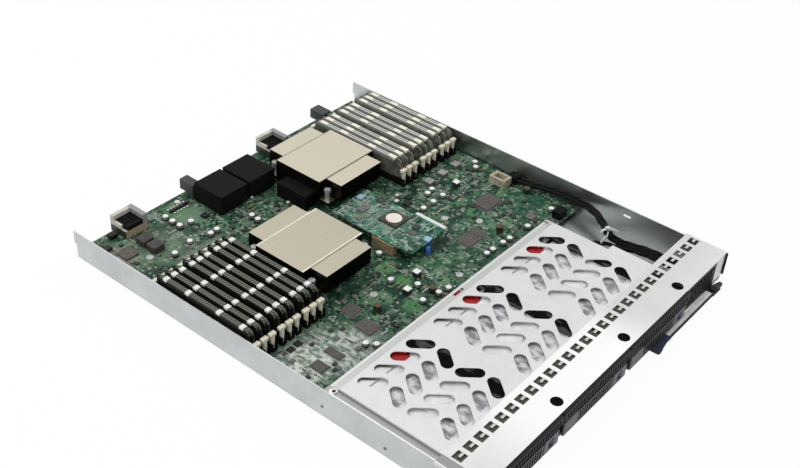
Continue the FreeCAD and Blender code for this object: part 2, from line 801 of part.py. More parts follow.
# Vent panel: staggered hexagons in an upright sheet
vent = body_of("vent_panel")
vent_rear = sketch_on(vent, "vent_left", "vent_level", "-vent_thickness", role="XZ_Plane")
pad(vent, rectangle(vent_rear, "vent_right - vent_left", "bridge_level - vent_level"), "vent_thickness")
for shift_x, shift_z, across, up in ((4.6, 5.0, 11, 3), (7.2, 9.5, 10, 2)):
    hexes = hexagon(sketch_on(vent, f"vent_left + {shift_x}", f"vent_level + {shift_z}", 0, role="XZ_Plane"), "hex_radius")
    grid_of(vent, pocket(vent, hexes, "vent_thickness + 1"),
            ("X_Axis", "hex_pitch", across), ("Z_Axis", "hex_row_pitch", up))
node(vent, "vent_panel")

# Ejector lever: a bracket let into the tray, a headed pin, the lever and its finger end
seat = box("notch_left", 0, 0, "notch_width", "notch_depth", "bracket_metal")
tongue = box("tongue_left", "-tongue_reach", 0, "tongue_width", "tongue_reach + 1", "bracket_metal")
pin_hole = rod("pivot_x", "pivot_y", -1, "pivot_radius", 4)
node(cut(fuse(seat, tongue), pin_hole), "lever_bracket")
lever_top = "lever_level + lever_metal"
pin_head = rod("pivot_x", "pivot_y", f"{lever_top} + 0.35", "pivot_head", 1.1)
node(fuse(rod("pivot_x", "pivot_y", 0, "pivot_radius", f"{lever_top} + 0.5"), pin_head), "lever_pin")

lever = body_of("ejector_lever")
lever_plan = sketch_on(lever, "grip_joint - 1", -20, "lever_level")
outline(lever_plan, corners((1, 10.5), (112, 10.5), (116.5, 12), (116.5, 15.5), (106, 18.8), (96, 19.2), (1, 17.8)))
pad(lever, lever_plan, "lever_metal")
lever_hole = sketch_on(lever, "pivot_x", "pivot_y", lever_top)
pocket(lever, circle(lever_hole, "pivot_radius + pivot_play"), "2 * lever_metal")
node(lever, "ejector_lever")
grip = body_of("lever_grip")
grip_plan = sketch_on(grip, "grip_joint - 33", -20, "lever_level")
outline(grip_plan, corners(
    (33, 9.4), (33, 17.4), (1, 17.2), (1, 7.4), (3.2, 6.0), (9, 6.8), (14, 8.0), (23, 9.4)))
pad(grip, grip_plan, "lever_metal")
node(grip, "lever_grip")

# Board with its screws and standoffs
SCREW_SPOTS = {
    "front": [(14, 186), (219, 186), (340, 186), (426, 186)],
    "middle": [(205, 375), (312, 340)],
    "rear": [(14, 506), (130, 508), (239, 508), (330, 508), (428, 508)],
}
screw_spots = [spot for row in SCREW_SPOTS.values() for spot in row]
board_plate = box("board_left", "board_front", "board_level", "board_right - board_left", "board_rear - board_front",
                  "board_thickness")
board_holes = [rod(x, y, "board_level - 1", "board_hole", "board_thickness + 2") for x, y in screw_spots]
node(cut(board_plate, *board_holes), "mainboard")
pillars = []
screws = []
for x, y in screw_spots:
    pillars.append(prism(x, y, "metal", "standoff_radius", "board_level - metal"))
    shank = prism(x, y, "board_level", 1.4, "board_thickness + 0.1")
    screws.append(fuse(shank, prism(x, y, "board_top", "screw_head", "screw_head_height", 12)))
pillars.append(prism("cover_screw_x", "cover_screw_y", "metal", 2.6, "rim_left_level - metal"))
cover_shank = prism("cover_screw_x", "cover_screw_y", "rim_left_level", 1.4, "bridge_metal + 0.1")
cover_head = prism("cover_screw_x", "cover_screw_y", "rim_left_level + bridge_metal", 2.9, "screw_head_height", 12)
screws.append(fuse(cover_shank, cover_head))
node(group(*pillars), "standoffs")
node(group(*screws), "screws")

# Processors: socket, package with its lid, and the stepped fin pack above
SINKS = {"left": ("sink_left_x", "sink_left_y"), "right": ("sink_right_x", "sink_right_y")}
sockets = []
processors = []
sink_screws = []
package_level = "board_top + socket_height"
for side, (x, y) in SINKS.items():
    sockets.append(box(f"{x} - socket_side / 2", f"{y} - socket_side / 2", "board_top", "socket_side", "socket_side",
                       "socket_height"))
    package = box(f"{x} - 21", f"{y} - 22.5", package_level, 42, 45, "package_height")
    package_lid = box(f"{x} - 18", f"{y} - 18", f"{package_level} + package_height", 36, 36, "lid_height")
    processors.append(fuse(package, package_lid))
    for across in (-1, 1):
        for along in (-1, 1):
            sx = f"{x} + {across} * sink_screw_x"
            sy = f"{y} + {along} * sink_screw_y"
            shank = prism(sx, sy, "board_top", 1.5, "sink_level + sink_base - board_top + 0.1")
            sleeve = prism(sx, sy, "sink_level + sink_base", "sleeve_radius", "sleeve_height + 0.1", 12)
            head = prism(sx, sy, "sink_level + sink_base + sleeve_height", 4.0, 4)
            sink_screws.append(fuse(shank, sleeve, head))
node(group(*sockets), "cpu_sockets")
node(group(*processors), "processors")
for side, (x, y) in SINKS.items():
    sink = body_of(f"heat_sink_{side}")
    base_plan = sketch_on(sink, "-sink_width / 2", "-sink_base_depth / 2", "sink_level")
    pad(sink, rectangle(base_plan, "sink_width", "sink_base_depth"), "sink_base")
    base_top = "sink_level + sink_base"
    hole = circle(sketch_on(sink, "-sink_screw_x", "-sink_screw_y", base_top), "sink_hole")
    grid_of(sink, pocket(sink, hole, "sink_base + 1"),
            ("X_Axis", "2 * sink_screw_x", 2), ("Y_Axis", "2 * sink_screw_y", 2))
    long_fin = rectangle(sketch_on(sink, "-sink_wing / 2", "-sink_depth / 2", base_top), "fin_thickness", "sink_depth")
    row_of(sink, pad(sink, long_fin, "fin_height"), "X_Axis", "fin_pitch", "fin_count")
    outer_span = "outer_fin_pitch * (outer_fin_count - 1) + fin_thickness"
    for start in ("-sink_width / 2", f"sink_width / 2 - ({outer_span})"):
        short_fin = sketch_on(sink, start, "-sink_middle / 2", base_top)
        fin = pad(sink, rectangle(short_fin, "fin_thickness", "sink_middle"), "fin_height")
        row_of(sink, fin, "X_Axis", "outer_fin_pitch", "outer_fin_count")
    skin_level = f"{base_top} + fin_height"
    wing = rectangle(sketch_on(sink, "-sink_wing / 2", "-sink_depth / 2", skin_level), "sink_wing", "sink_depth")
    pad(sink, wing, "wing_skin")
    top = rectangle(sketch_on(sink, "-sink_width / 2", "-sink_middle / 2", skin_level), "sink_width", "sink_middle")
    sink.Tip = pad(sink, top, "middle_skin")
    node(sink, f"heat_sink_{side}", x, y)
node(group(*sink_screws), "sink_screws")

# Memory: two banks of three groups of three, each a slot, a module, clips and two latches
BANKS = {}
for side in ("left", "right"):
    BANKS[side] = [f"{side}_first + {k % 3} * {side}_pitch + {k // 3} * {side}_group" for k in range(9)]
trough = box("-slot_body / 2", "-slot_body_length / 2", "board_top", "slot_body", "slot_body_length", "slot_body_height")
trough_ends = [box("-slot_body / 2", "-slot_reach", "board_top", "slot_body", "slot_end", "slot_end_height"),
               box("-slot_body / 2", "slot_reach - slot_end", "board_top", "slot_body", "slot_end", "slot_end_height")]
latch_gaps = [box("-latch_width / 2 - 0.35", "-slot_reach - 1", "board_top + 0.6", "latch_width + 0.7",
                  "slot_reach - module_length / 2 + 0.9", 12),
              box("-latch_width / 2 - 0.35", "module_length / 2 + 0.1", "board_top + 0.6", "latch_width + 0.7",
                  "slot_reach - module_length / 2 + 0.9", 12)]
edge_slot = box("-module_board / 2", "-module_length / 2", "module_level", "module_board", "module_length", 12)
memory_slot = cut(fuse(trough, *trough_ends), edge_slot, *latch_gaps)
module_card = box("-module_board / 2", "-module_length / 2", "module_level", "module_board", "module_length", "module_height")
spreader_block = box("-spreader / 2", "-spreader_length / 2", "spreader_level", "spreader", "spreader_length",
                     "spreader_height")


def upper_end(edge):
    """The upper corners at the spreader's two ends."""
    span = edge.BoundBox
    top_level = DIMENSIONS["spreader_level"] + DIMENSIONS["spreader_height"]
    return span.ZMin > top_level - 0.01 and span.XLength > 1 and span.YLength < 0.01


spreader_cover = edges("Part::Fillet", spreader_block, DIMENSIONS["spreader_corner"], upper_end)
module = fuse(edges("Part::Fillet", module_card, DIMENSIONS["spreader_corner"],
                    lambda e: e.BoundBox.ZMin > 38.5 and e.BoundBox.YLength < 0.01), spreader_cover)
clip_top = "module_level + module_height"
clip_outer = box("-spreader / 2 - clip_wall", "-clip_width / 2", "clip_level", "spreader + 2 * clip_wall", "clip_width",
                 f"{clip_top} - clip_level + 0.8")
clip = cut(clip_outer, box("-spreader / 2", "-clip_width", "clip_level - 1", "spreader", "2 * clip_width",
                           f"{clip_top} - clip_level + 1"))
latch_stem = box("-latch_width / 2", "-1.9", -1.4, "latch_width", "latch_depth", "latch_stem")
latch_cap = box("-latch_cap_width / 2", "-2.6", "latch_stem - 2.2", "latch_cap_width", "latch_cap_depth", "latch_cap")
latch = fuse(latch_stem, latch_cap)

slots = []
clips = []
for side, spots in BANKS.items():
    middle = f"{side}_middle"
    places = [(x, middle) for x in spots]
    slots += copies(memory_slot, places)
    clips += copies(clip, [(x, f"{middle} + {reach}") for x in spots
                           for reach in ("clip_near", "clip_far", "-clip_near", "-clip_far")])
    node(group(*copies(module, places)), f"memory_modules_{side}")
    rear = copies(latch, [(x, f"{middle} + latch_pivot") for x in spots])
    front = copies(latch, [(x, f"{middle} - latch_pivot") for x in spots])
    for link in front:
        link.Placement = FreeCAD.Placement(link.Placement.Base, FreeCAD.Rotation(Vector(0, 0, 1), 180))
    node(group(*rear), f"latches_{side}_rear", z="latch_pivot_z")
    node(group(*front), f"latches_{side}_front", z="latch_pivot_z")
node(group(*slots), "memory_sockets")
node(group(*clips), "memory_clips")

# Raised card on two posts and its own connector
posts = [("post_front_x", "post_front_y"), ("post_rear_x", "post_rear_y")]
card = box("card_left", "card_front", "card_level", "card_width", "card_depth", "card_thickness")
card_holes = [rod(x, y, "card_level - 1", "post_pin", "card_thickness + 2") for x, y in posts]
node(cut(card, *card_holes), "mezzanine_card")
card_top = "card_level + card_thickness"
card_posts = []
for x, y in posts:
    card_posts.append(fuse(rod(x, y, "board_top", "post_radius", "card_level - board_top"),
                           rod(x, y, "card_level - 0.1", "post_pin", "card_thickness + 0.2"),
                           rod(x, y, card_top, "post_radius", 2)))
node(group(*card_posts), "mezzanine_posts")
chip_block = box("chip_left", "chip_front", card_top, "chip_width", "chip_depth", "chip_height")
chip_disc = rod("chip_left + chip_width / 2", "chip_front + chip_depth / 2", f"{card_top} + chip_height - 0.1", 9, 0.5)
node(fuse(chip_block, chip_disc), "mezzanine_chip")
card_plug = box("card_left - 2", "card_front + 23", "board_top", 7, 29, "card_level - board_top")
card_plug_seam = box("card_left - 3", "card_front + 22", "board_top + 5", 1.6, 31, 1)
node(cut(card_plug, card_plug_seam), "mezzanine_connector")

# Rear connectors and guide blocks
shells = []
inserts = []
insert_width = "power_width - power_left_wall - power_right_wall"
insert_depth = "power_depth - power_rear_wall"
for x in ("power_left", "power_right"):
    shell = box(x, "power_front", "board_top", "power_width", "power_depth", "power_height")
    seat_x = f"{x} + power_left_wall"
    seat_z = "board_top + power_ledge"
    seat = box(seat_x, "power_front - 1", seat_z, insert_width, f"{insert_depth} + 1", "power_height")
    shoulder = box(f"{x} - 1", "power_front - 1", "board_top + power_height - power_left_drop", "power_left_wall + 2",
                   f"{insert_depth} + 1", "power_height")
    relief = box(f"{x} - 1", "power_front - 1", seat_z, "power_left_wall + 2", 9, "power_height")
    shells.append(cut(shell, seat, shoulder, relief))
    core = box(seat_x, "power_front", seat_z, insert_width, insert_depth, "insert_height")
    slits = [box(f"{seat_x} + 3 + {k} * insert_slit_pitch", "power_front + 4", f"{seat_z} + 1", "insert_slit",
                 f"{insert_depth} - 7", "insert_height") for k in range(4)]
    inserts.append(cut(core, *slits))
node(group(*shells), "power_connectors")
node(group(*inserts), "power_inserts")

wafers = []
for x, wide in (("tall_left", 8), ("tall_right", 8)):
    tall = box(x, "tall_front", "board_top", "tall_width", "tall_depth", "tall_height")
    cells = [box(f"{x} + 3 + {k} * 4.3", "tall_front + tall_depth - 8", "board_top + 3", 2.6, 9, "tall_height - 6")
             for k in range(wide)]
    wafers.append(cut(tall, *cells))
low = box("low_left", "low_front", "board_top", "low_width", "low_depth", "low_height")
low_cells = [box(f"low_left + 3 + {k} * 4.5", "low_front - 1", "board_top + 3", 2.6, 6, "low_height - 6")
             for k in range(3)]
wafers.append(cut(low, *low_cells))
node(group(*wafers), "signal_connectors")

for side in ("left", "right"):
    guide_x = f"guide_{side}"
    undercut = box(f"{guide_x} - 1", "guide_front + guide_foot", "board_top - 1", f"{guide_x}_width + 2",
                   f"{guide_x}_depth", f"{guide_x}_raise + 1")
    guide = box(guide_x, "guide_front", "board_top", f"{guide_x}_width", f"{guide_x}_depth", "guide_height")
    bore = rod(f"{guide_x} + {guide_x}_width / 2", "guide_front - 1", "guide_bore_z", "guide_bore",
               f"{guide_x}_depth + 2", "y")
    node(cut(guide, bore, undercut), f"guide_block_{side}")

# Soldered parts: chips by corner, width, depth and height, then inductors and capacitors
CHIPS = {
    "hub": (354, 246, 31, 24, 2.6),
    "controller": (285, 220, 23, 21, 2.2),
    "memory": (310, 220, 12, 23, 1.6),
    "network": (112, 237, 20, 18, 2.0),
    "manager": (104, 206, 20, 22, 2.0),
    "clock": (33, 205, 14.6, 18, 1.8),
    "flash": (57.5, 205, 11.5, 22, 1.8),
    "driver_one": (354, 328, 8, 8, 3.0),
    "driver_two": (382, 330, 8, 8, 3.0),
    "driver_three": (405, 330, 8, 8, 3.0),
}
chips = [box(x, y, "board_top", wide, deep, high) for x, y, wide, deep, high in CHIPS.values()]
for y in (454, 470.4):
    chips.append(box(50.5, y, "board_top", "inductor_side", "inductor_side", "inductor_height"))
node(group(*chips), "board_chips")

# Capacitor rows: first place, step and count
CAPACITOR_ROWS = {
    "front_middle": (288.2, 200.0, 10.2, -0.4, 2),
    "front_right": (316.1, 198.6, 11.2, -0.8, 2),
    "front_end": (359.4, 196.0, 46.1, -0.6, 2),
    "front_left": (91.9, 201.5, 6.0, -8.7, 2),
    "front_centre": (180.2, 201.5, 3.2, 44.6, 2),
    "under_card": (196.6, 221.2, 1.0, 0.0, 1),
    "beside_lead": (201.1, 197.5, 12.8, -3.0, 2),
    "rear_left": (100.2, 471.0, 0.0, 11.3, 3),
    "rear_lone": (113.5, 467.9, 1.0, 0.0, 1),
    "behind_bank": (63.6, 438.1, 24.7, 4.1, 2),
    "behind_sink": (113.1, 436.7, 9.4, 0.6, 2),
    "sink_corner": (165.5, 418.7, 0.8, 9.9, 2),
    "channel": (209.8, 283.8, 1.0, 0.0, 1),
    "before_bank": (307.0, 300.7, 17.6, 0.0, 3),
    "bank_corner": (333.4, 315.6, 9.7, 1.6, 2),
    "bank_end": (415.4, 308.2, 8.4, 7.3, 2),
}
SQUARE_CANS = [(210.1, 233.3), (181.1, 222.4), (371.5, 303.8)]
cans = []
for x, y, step_x, step_y, count in CAPACITOR_ROWS.values():
    for k in range(count):
        cans.append(prism(x + k * step_x, y + k * step_y, "board_top", "cap_radius", "cap_height", 12))
for x, y in SQUARE_CANS:
    cans.append(box(f"{x} - square_can / 2", f"{y} - square_can / 2", "board_top", "square_can", "square_can",
                    "square_can_height"))
node(group(*cans), "capacitors")

bar_block = box(287.5, 257, "board_top", 5, 41, 7.2)
node(cut(bar_block, box(289.2, 259, "board_top + 3", 1.6, 37, 6)), "bar_connector")
header = box("header_left", "header_front", "board_top", "header_width", "header_depth", "header_height")
header_gap = box("header_left + 3", "header_front + 4", "board_top + 3", "header_width - 6", "header_depth - 8", 12)
node(cut(header, header_gap), "cream_header")

# Cables: straight runs with tangent arcs between them, swept whole
board_plug = box(397, 178, "board_top", 14, 11, 9)
signal_plug = box(421.4, 255, "board_top", 11.6, 12, 9.2)
panel_plug = box(397, "vent_thickness", 5, 22, 8.5, 14)
cage_plug = box("side_x + divider", 120, 8, 8, 16, 12)
node(group(board_plug, signal_plug, panel_plug, cage_plug), "cable_plugs")


def run(points):
    """A wire through points, each corner eased by an arc as wide as its runs allow."""
    path = []
    here = points[0]
    radii = []
    for before, corner, after in zip(points, points[1:], points[2:]):
        back = (before - corner).normalize()
        onward = (after - corner).normalize()
        half = (math.pi - back.getAngle(onward)) / 2
        reach = 0.45 * min((before - corner).Length, (after - corner).Length)
        radius = reach / math.tan(half)
        radii.append(round(radius, 1))
        start = corner + back * reach
        end = corner + onward * reach
        bisector = (back + onward).normalize()
        centre = corner + bisector * (radius / math.cos(half))
        top = centre - bisector * radius
        path.append(Part.LineSegment(here, start).toShape())
        path.append(Part.Arc(start, top, end).toShape())
        here = end
    path.append(Part.LineSegment(here, points[-1]).toShape())
    return Part.Wire(path), radii


def cable(points, radius):
    """A round cable swept along its run, with its length and its volume's error printed."""
    wire, radii = run(points)
    start = (points[1] - points[0]).normalize()
    ring = Part.Wire(Part.Circle(points[0], start, radius).toShape())
    solid = wire.makePipeShell([ring], True, True)
    ideal = math.pi * radius ** 2 * wire.Length
    print(f"cable length {wire.Length:.1f}, radii {radii}, volume ratio {solid.Volume / ideal:.4f}")
    return solid


def swept(solids, label):
    """A sub-part from swept cables."""
    obj = doc.addObject("Part::Feature", "Cable")
    obj.Shape = solids[0] if len(solids) == 1 else Part.makeCompound(solids)
    return node(obj, label)


spread = DIMENSIONS["cable_spread"]
pair = []
for offset in (-spread, spread):
    middle_line = [(427, 255, 12), (427, 243, 12), (430, 212, 17), (430.6, 182, 18), (428, 158, 18), (419.5, 140.5, 17.5),
                   (400.5, 116.5, 14), (402, 100, 12.5), (409, 80, 12), (411, 58, 12), (411, 10.5, 12)]
    pair.append(cable([Vector(x + offset, y, z) for x, y, z in middle_line], DIMENSIONS["cable_radius"]))
swept(pair, "signal_cables")
drive_line = [(364, 128, 14), (378, 128, 14), (390, 112, 13), (393.2, 98, 12.5), (400.2, 80, 12), (402.2, 58, 12),
              (402.2, 10.5, 12)]
swept([cable([Vector(*p) for p in drive_line], DIMENSIONS["drive_cable_radius"])], "drive_cable")

# Tie: a flat ring about both cables, with its square head on top
tie_inner_x = "cable_spread"
tie_inner = "cable_radius + 0.5"
tie_outer = "cable_radius + 0.5 + tie_wall"


def racetrack(radius, start, width):
    """A rounded bar along y that both cables would fit in."""
    return fuse(box(f"-({tie_inner_x})", start, f"-({radius})", f"2 * ({tie_inner_x})", width, f"2 * ({radius})"),
                rod(f"-({tie_inner_x})", start, 0, radius, width, "y"), rod(tie_inner_x, start, 0, radius, width, "y"))


ring = cut(racetrack(tie_outer, "-tie_width / 2", "tie_width"), racetrack(tie_inner, "-tie_width", "2 * tie_width"))
tie_head = box(-2.5, "-tie_width / 2 - 0.4", f"{tie_outer} - 0.1", 5, "tie_width + 0.8", 2.6)
tie = fuse(ring, tie_head)
tie.Placement = FreeCAD.Placement(Vector(), FreeCAD.Rotation(Vector(0, 0, 1), DIMENSIONS["tie_turn"]))
node(tie, "cable_tie", "tie_x", "tie_y", "tie_z")

# Check every object, then write each sub-part's file
doc.recompute()
for obj in doc.Objects:
    if "Invalid" in obj.State or "Error" in obj.State:
        raise RuntimeError(f"{obj.Name} ({obj.Label}) did not build: {obj.State}")
os.makedirs("parts", exist_ok=True)
for obj in nodes:
    if obj.Shape.isNull() or not obj.Shape.isValid():
        raise RuntimeError(f"{obj.Label} has no valid shape")
    obj.Shape.exportStep(f"parts/{obj.Label}.step")
    span = obj.Shape.BoundBox
    print(f"{obj.Label}: {len(obj.Shape.Solids)} solid(s), {span.XLength:.1f} x {span.YLength:.1f} x {span.ZLength:.1f}")
print(len(nodes), "sub-parts")
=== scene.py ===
# %% [markdown]
# # A server node, dressed for its picture
# The CAD model already has every solid in its place. This lesson loads it, sets up the camera and a
# plain studio, and then gives each surface its finish and each small part its detail.

# %% Load the frame
import math
import random

import bmesh
import bpy
from mathutils import Matrix, Vector


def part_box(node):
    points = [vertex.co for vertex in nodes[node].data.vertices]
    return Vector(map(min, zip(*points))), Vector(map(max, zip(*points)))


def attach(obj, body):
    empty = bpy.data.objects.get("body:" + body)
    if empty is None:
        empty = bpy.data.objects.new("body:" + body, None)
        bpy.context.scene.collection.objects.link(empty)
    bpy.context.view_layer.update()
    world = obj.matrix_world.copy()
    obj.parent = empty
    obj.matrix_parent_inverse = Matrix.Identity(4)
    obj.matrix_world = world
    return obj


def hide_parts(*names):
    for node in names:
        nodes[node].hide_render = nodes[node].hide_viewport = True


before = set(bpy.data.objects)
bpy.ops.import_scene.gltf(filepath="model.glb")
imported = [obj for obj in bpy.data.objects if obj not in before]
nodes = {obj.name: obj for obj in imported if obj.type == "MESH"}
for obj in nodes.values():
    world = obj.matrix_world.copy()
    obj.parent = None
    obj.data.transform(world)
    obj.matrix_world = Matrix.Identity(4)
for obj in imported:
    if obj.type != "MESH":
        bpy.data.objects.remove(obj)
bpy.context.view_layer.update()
scene = bpy.context.scene

# %% [markdown]
# ## Camera
# The photograph was taken from the front left, a little over a metre away and well above the tray. Its
# place, its turn and its lens come from fitting the tray's edges and the corners of the board's parts. The
# vectors below are the camera's right, its up and the way it looks, written in the model's own frame.

# %% Camera
TRAY_WIDTH = 0.438
TRAY_DEPTH = 0.519
CAMERA_PLACE = (-574.7, -331.6, 769.1)
CAMERA_RIGHT = Vector((0.63164, -0.77332, 0.05482))
CAMERA_UP = Vector((0.43116, 0.40917, 0.80416))
CAMERA_LOOK = Vector((0.64431, 0.48430, -0.59188))
SENSOR_WIDTH = 36.0
LENS = 53.456


def spot(x, y, z):
    """A point given in millimetres from the tray's front left bottom corner, in the model's frame."""
    return Vector((x / 1000 - TRAY_WIDTH / 2, y / 1000 - TRAY_DEPTH / 2, z / 1000))


camera = bpy.data.objects.new("camera", bpy.data.cameras.new("camera"))
scene.collection.objects.link(camera)
camera.data.sensor_fit = "HORIZONTAL"
camera.data.sensor_width = SENSOR_WIDTH
camera.data.lens = LENS
turn = Matrix((CAMERA_RIGHT, CAMERA_UP, -CAMERA_LOOK)).transposed().to_4x4()
camera.matrix_world = Matrix.Translation(spot(*CAMERA_PLACE)) @ turn
scene.camera = camera
print("camera at", tuple(round(v, 3) for v in camera.location))

# %% [markdown]
# ## Helpers for shader nodes
# A finish is a tree of nodes, and each node takes several lines to make, set and link. These helpers
# do that in one line each, so that a finish further down reads like a recipe.

# %% Make and link nodes
def new_tree(owner):
    """Clears a material's or world's nodes and returns its tree."""
    owner.use_nodes = True
    owner.node_tree.nodes.clear()
    return owner.node_tree


def feed(tree, socket, value):
    """Sets a socket to a number, a colour or a vector, or links another socket to it."""
    if isinstance(value, bpy.types.NodeSocket):
        tree.links.new(value, socket)
    elif socket.type == "RGBA" and len(value) == 3:
        socket.default_value = (*value, 1)
    else:
        socket.default_value = value


def add(tree, kind, **sockets):
    """A node with its sockets set; an underscore stands for a space in a socket's name."""
    made = tree.nodes.new(kind)
    for label, value in sockets.items():
        feed(tree, made.inputs[label.replace("_", " ")], value)
    return made


def reckon(tree, kind, operation, values):
    """A node that works on its inputs in order; returns its outputs."""
    made = tree.nodes.new(kind)
    made.operation = operation
    for socket, value in zip(made.inputs, values):
        feed(tree, socket, value)
    return made.outputs


def count(tree, operation, *values):
    """The result of a Math node on numbers or sockets."""
    return reckon(tree, "ShaderNodeMath", operation, values)["Value"]


def vectors(tree, operation, *values):
    """The outputs of a Vector Math node."""
    return reckon(tree, "ShaderNodeVectorMath", operation, values)


print("helpers that make and link nodes are ready")

# %% Mix, fade and measure
def ramp(tree, value, low, high):
    """0 below low, 1 above high, and smooth between."""
    made = add(tree, "ShaderNodeMapRange", Value=value, From_Min=low, From_Max=high)
    made.interpolation_type = "SMOOTHSTEP"
    return made.outputs["Result"]


def tint(tree, share, first, second, blend="MIX"):
    """A mix of two colours; a Mix node takes them at its inputs 6 and 7 and gives them at its output 2."""
    made = tree.nodes.new("ShaderNodeMix")
    made.data_type = "RGBA"
    made.blend_type = blend
    feed(tree, made.inputs[0], share)
    feed(tree, made.inputs[6], first)
    feed(tree, made.inputs[7], second)
    return made.outputs[2]


def here(tree):
    """The point on the piece, in metres."""
    return tree.nodes.new("ShaderNodeTexCoord").outputs["Object"]


def along(tree, axis):
    """The point's distance along x, y or z, in metres."""
    return add(tree, "ShaderNodeSeparateXYZ", Vector=here(tree)).outputs[axis.upper()]


def facing(tree, axis):
    """How far the surface faces along x, y or z, from -1 to 1."""
    normal = tree.nodes.new("ShaderNodeNewGeometry").outputs["Normal"]
    return add(tree, "ShaderNodeSeparateXYZ", Vector=normal).outputs[axis.upper()]


print("helpers that mix, fade and measure are ready")

# %% [markdown]
# ## Studio
# A white floor, a pale surround and three large soft lamps. A surround bright enough to look white would
# wash out the board, so Light Path shows white only to the camera and to what metal mirrors, and the
# matt parts get a softer light.

# %% Surround
SURROUND_TINT = (0.95, 0.97, 1.0)
SURROUND_STRENGTH = 0.42


def seen_directly(tree):
    """A mask that is 1 for the camera and for what mirrors or glass show."""
    path = tree.nodes.new("ShaderNodeLightPath").outputs
    either = count(tree, "MAXIMUM", path["Is Camera Ray"], path["Is Glossy Ray"])
    return count(tree, "MAXIMUM", either, path["Is Transmission Ray"])


def choose(tree, share, first, second):
    """A mix of two shaders."""
    made = tree.nodes.new("ShaderNodeMixShader")
    feed(tree, made.inputs["Fac"], share)
    feed(tree, made.inputs[1], first.outputs[0])
    feed(tree, made.inputs[2], second.outputs[0])
    return made.outputs[0]


scene.view_settings.view_transform = "Standard"
scene.world = bpy.data.worlds.new("studio")
tree = new_tree(scene.world)
soft = add(tree, "ShaderNodeBackground", Color=SURROUND_TINT, Strength=SURROUND_STRENGTH)
white = add(tree, "ShaderNodeBackground", Color=(1, 1, 1), Strength=1.0)
add(tree, "ShaderNodeOutputWorld", Surface=choose(tree, seen_directly(tree), soft, white))
print("surround:", scene.world.name)

# %% Floor
FLOOR_REACH = 6.0
FLOOR_GAP = 0.0006
FLOOR_GLOW = 0.95
floor_mesh = bmesh.new()
bmesh.ops.create_grid(floor_mesh, x_segments=1, y_segments=1, size=FLOOR_REACH)
bmesh.ops.translate(floor_mesh, verts=floor_mesh.verts, vec=(0, 0, -FLOOR_GAP))
floor_data = bpy.data.meshes.new("floor")
floor_mesh.to_mesh(floor_data)
floor_mesh.free()
floor = bpy.data.objects.new("floor", floor_data)
scene.collection.objects.link(floor)
paper = bpy.data.materials.new("floor_paper")
floor_data.materials.append(paper)
tree = new_tree(paper)
matte = add(tree, "ShaderNodeBsdfDiffuse", Color=(0.9, 0.9, 0.9))
glow = add(tree, "ShaderNodeEmission", Color=(1, 1, 1))
share = count(tree, "MULTIPLY", seen_directly(tree), FLOOR_GLOW)
add(tree, "ShaderNodeOutputMaterial", Surface=choose(tree, share, matte, glow))
print("floor of", 2 * FLOOR_REACH, "m")

# %% Lamps
# Each lamp has its place in metres, its size and its power, and faces the object's middle.
LAMPS = {
    "key": ((-0.4, 1.0, 1.7), 2.0, 24),
    "fill": ((-1.5, -0.9, 1.0), 1.2, 7),
    "side": ((1.4, -0.5, 1.2), 0.9, 7),
}
for name, (place, size, power) in LAMPS.items():
    lamp = bpy.data.objects.new(name, bpy.data.lights.new(name, "AREA"))
    lamp.data.size = size
    lamp.data.energy = power
    lamp.location = place
    lamp.rotation_euler = (-Vector(place)).to_track_quat("-Z", "Y").to_euler()
    scene.collection.objects.link(lamp)
print("lamps:", ", ".join(LAMPS))

# %% [markdown]
# ## Shared effects
# Sheet metal is mottled, boards are strewn with pads, mesh and louvres are lines, and many parts show one
# colour on top and another on their sides. Each of these could be drawn again in every material. A node
# group holds each once, and a material places it with its own sizes and colours.

# %% Groups and materials
FLOAT = "NodeSocketFloat"
COLOR = "NodeSocketColor"
VECTOR = "NodeSocketVector"


def effect(name, inputs, outputs):
    """An empty node group with named sockets, and the sockets at its two ends."""
    group = bpy.data.node_groups.new(name, "ShaderNodeTree")
    for label, kind, value in inputs:
        group.interface.new_socket(name=label, in_out="INPUT", socket_type=kind).default_value = value
    for label, kind in outputs:
        group.interface.new_socket(name=label, in_out="OUTPUT", socket_type=kind)
    return group, group.nodes.new("NodeGroupInput").outputs, group.nodes.new("NodeGroupOutput").inputs


def use(tree, group, **sockets):
    """A group placed in a material, with its own values; returns its outputs."""
    made = tree.nodes.new("ShaderNodeGroup")
    made.node_tree = group
    for label, value in sockets.items():
        feed(tree, made.inputs[label], value)
    return made.outputs


def finish(name, roughness=0.5, metallic=0.0, specular=0.5):
    """A Principled material; returns the material, its tree and the shader's sockets."""
    made = bpy.data.materials.new(name)
    tree = new_tree(made)
    shader = add(tree, "ShaderNodeBsdfPrincipled", Roughness=roughness, Metallic=metallic,
                 Specular_IOR_Level=specular)
    add(tree, "ShaderNodeOutputMaterial", Surface=shader.outputs["BSDF"])
    return made, tree, shader.inputs


print("helpers for groups and materials are ready")

# %% Mottle and lines
mottle, given, out = effect(
    "mottle",
    [("Scale", FLOAT, 40.0), ("Stretch", VECTOR, (1, 1, 1)), ("Dark", COLOR, (0, 0, 0, 1)),
     ("Light", COLOR, (1, 1, 1, 1)), ("Spread", FLOAT, 0.2)],
    [("Color", COLOR), ("Value", FLOAT)])
stretched = vectors(mottle, "MULTIPLY", here(mottle), given["Stretch"])["Vector"]
noise = add(mottle, "ShaderNodeTexNoise", Vector=stretched, Scale=given["Scale"], Detail=4.0, Roughness=0.6)
drift = ramp(mottle, noise.outputs["Fac"], count(mottle, "SUBTRACT", 0.5, given["Spread"]),
             count(mottle, "ADD", 0.5, given["Spread"]))
feed(mottle, out["Value"], drift)
feed(mottle, out["Color"], tint(mottle, drift, given["Dark"], given["Light"]))

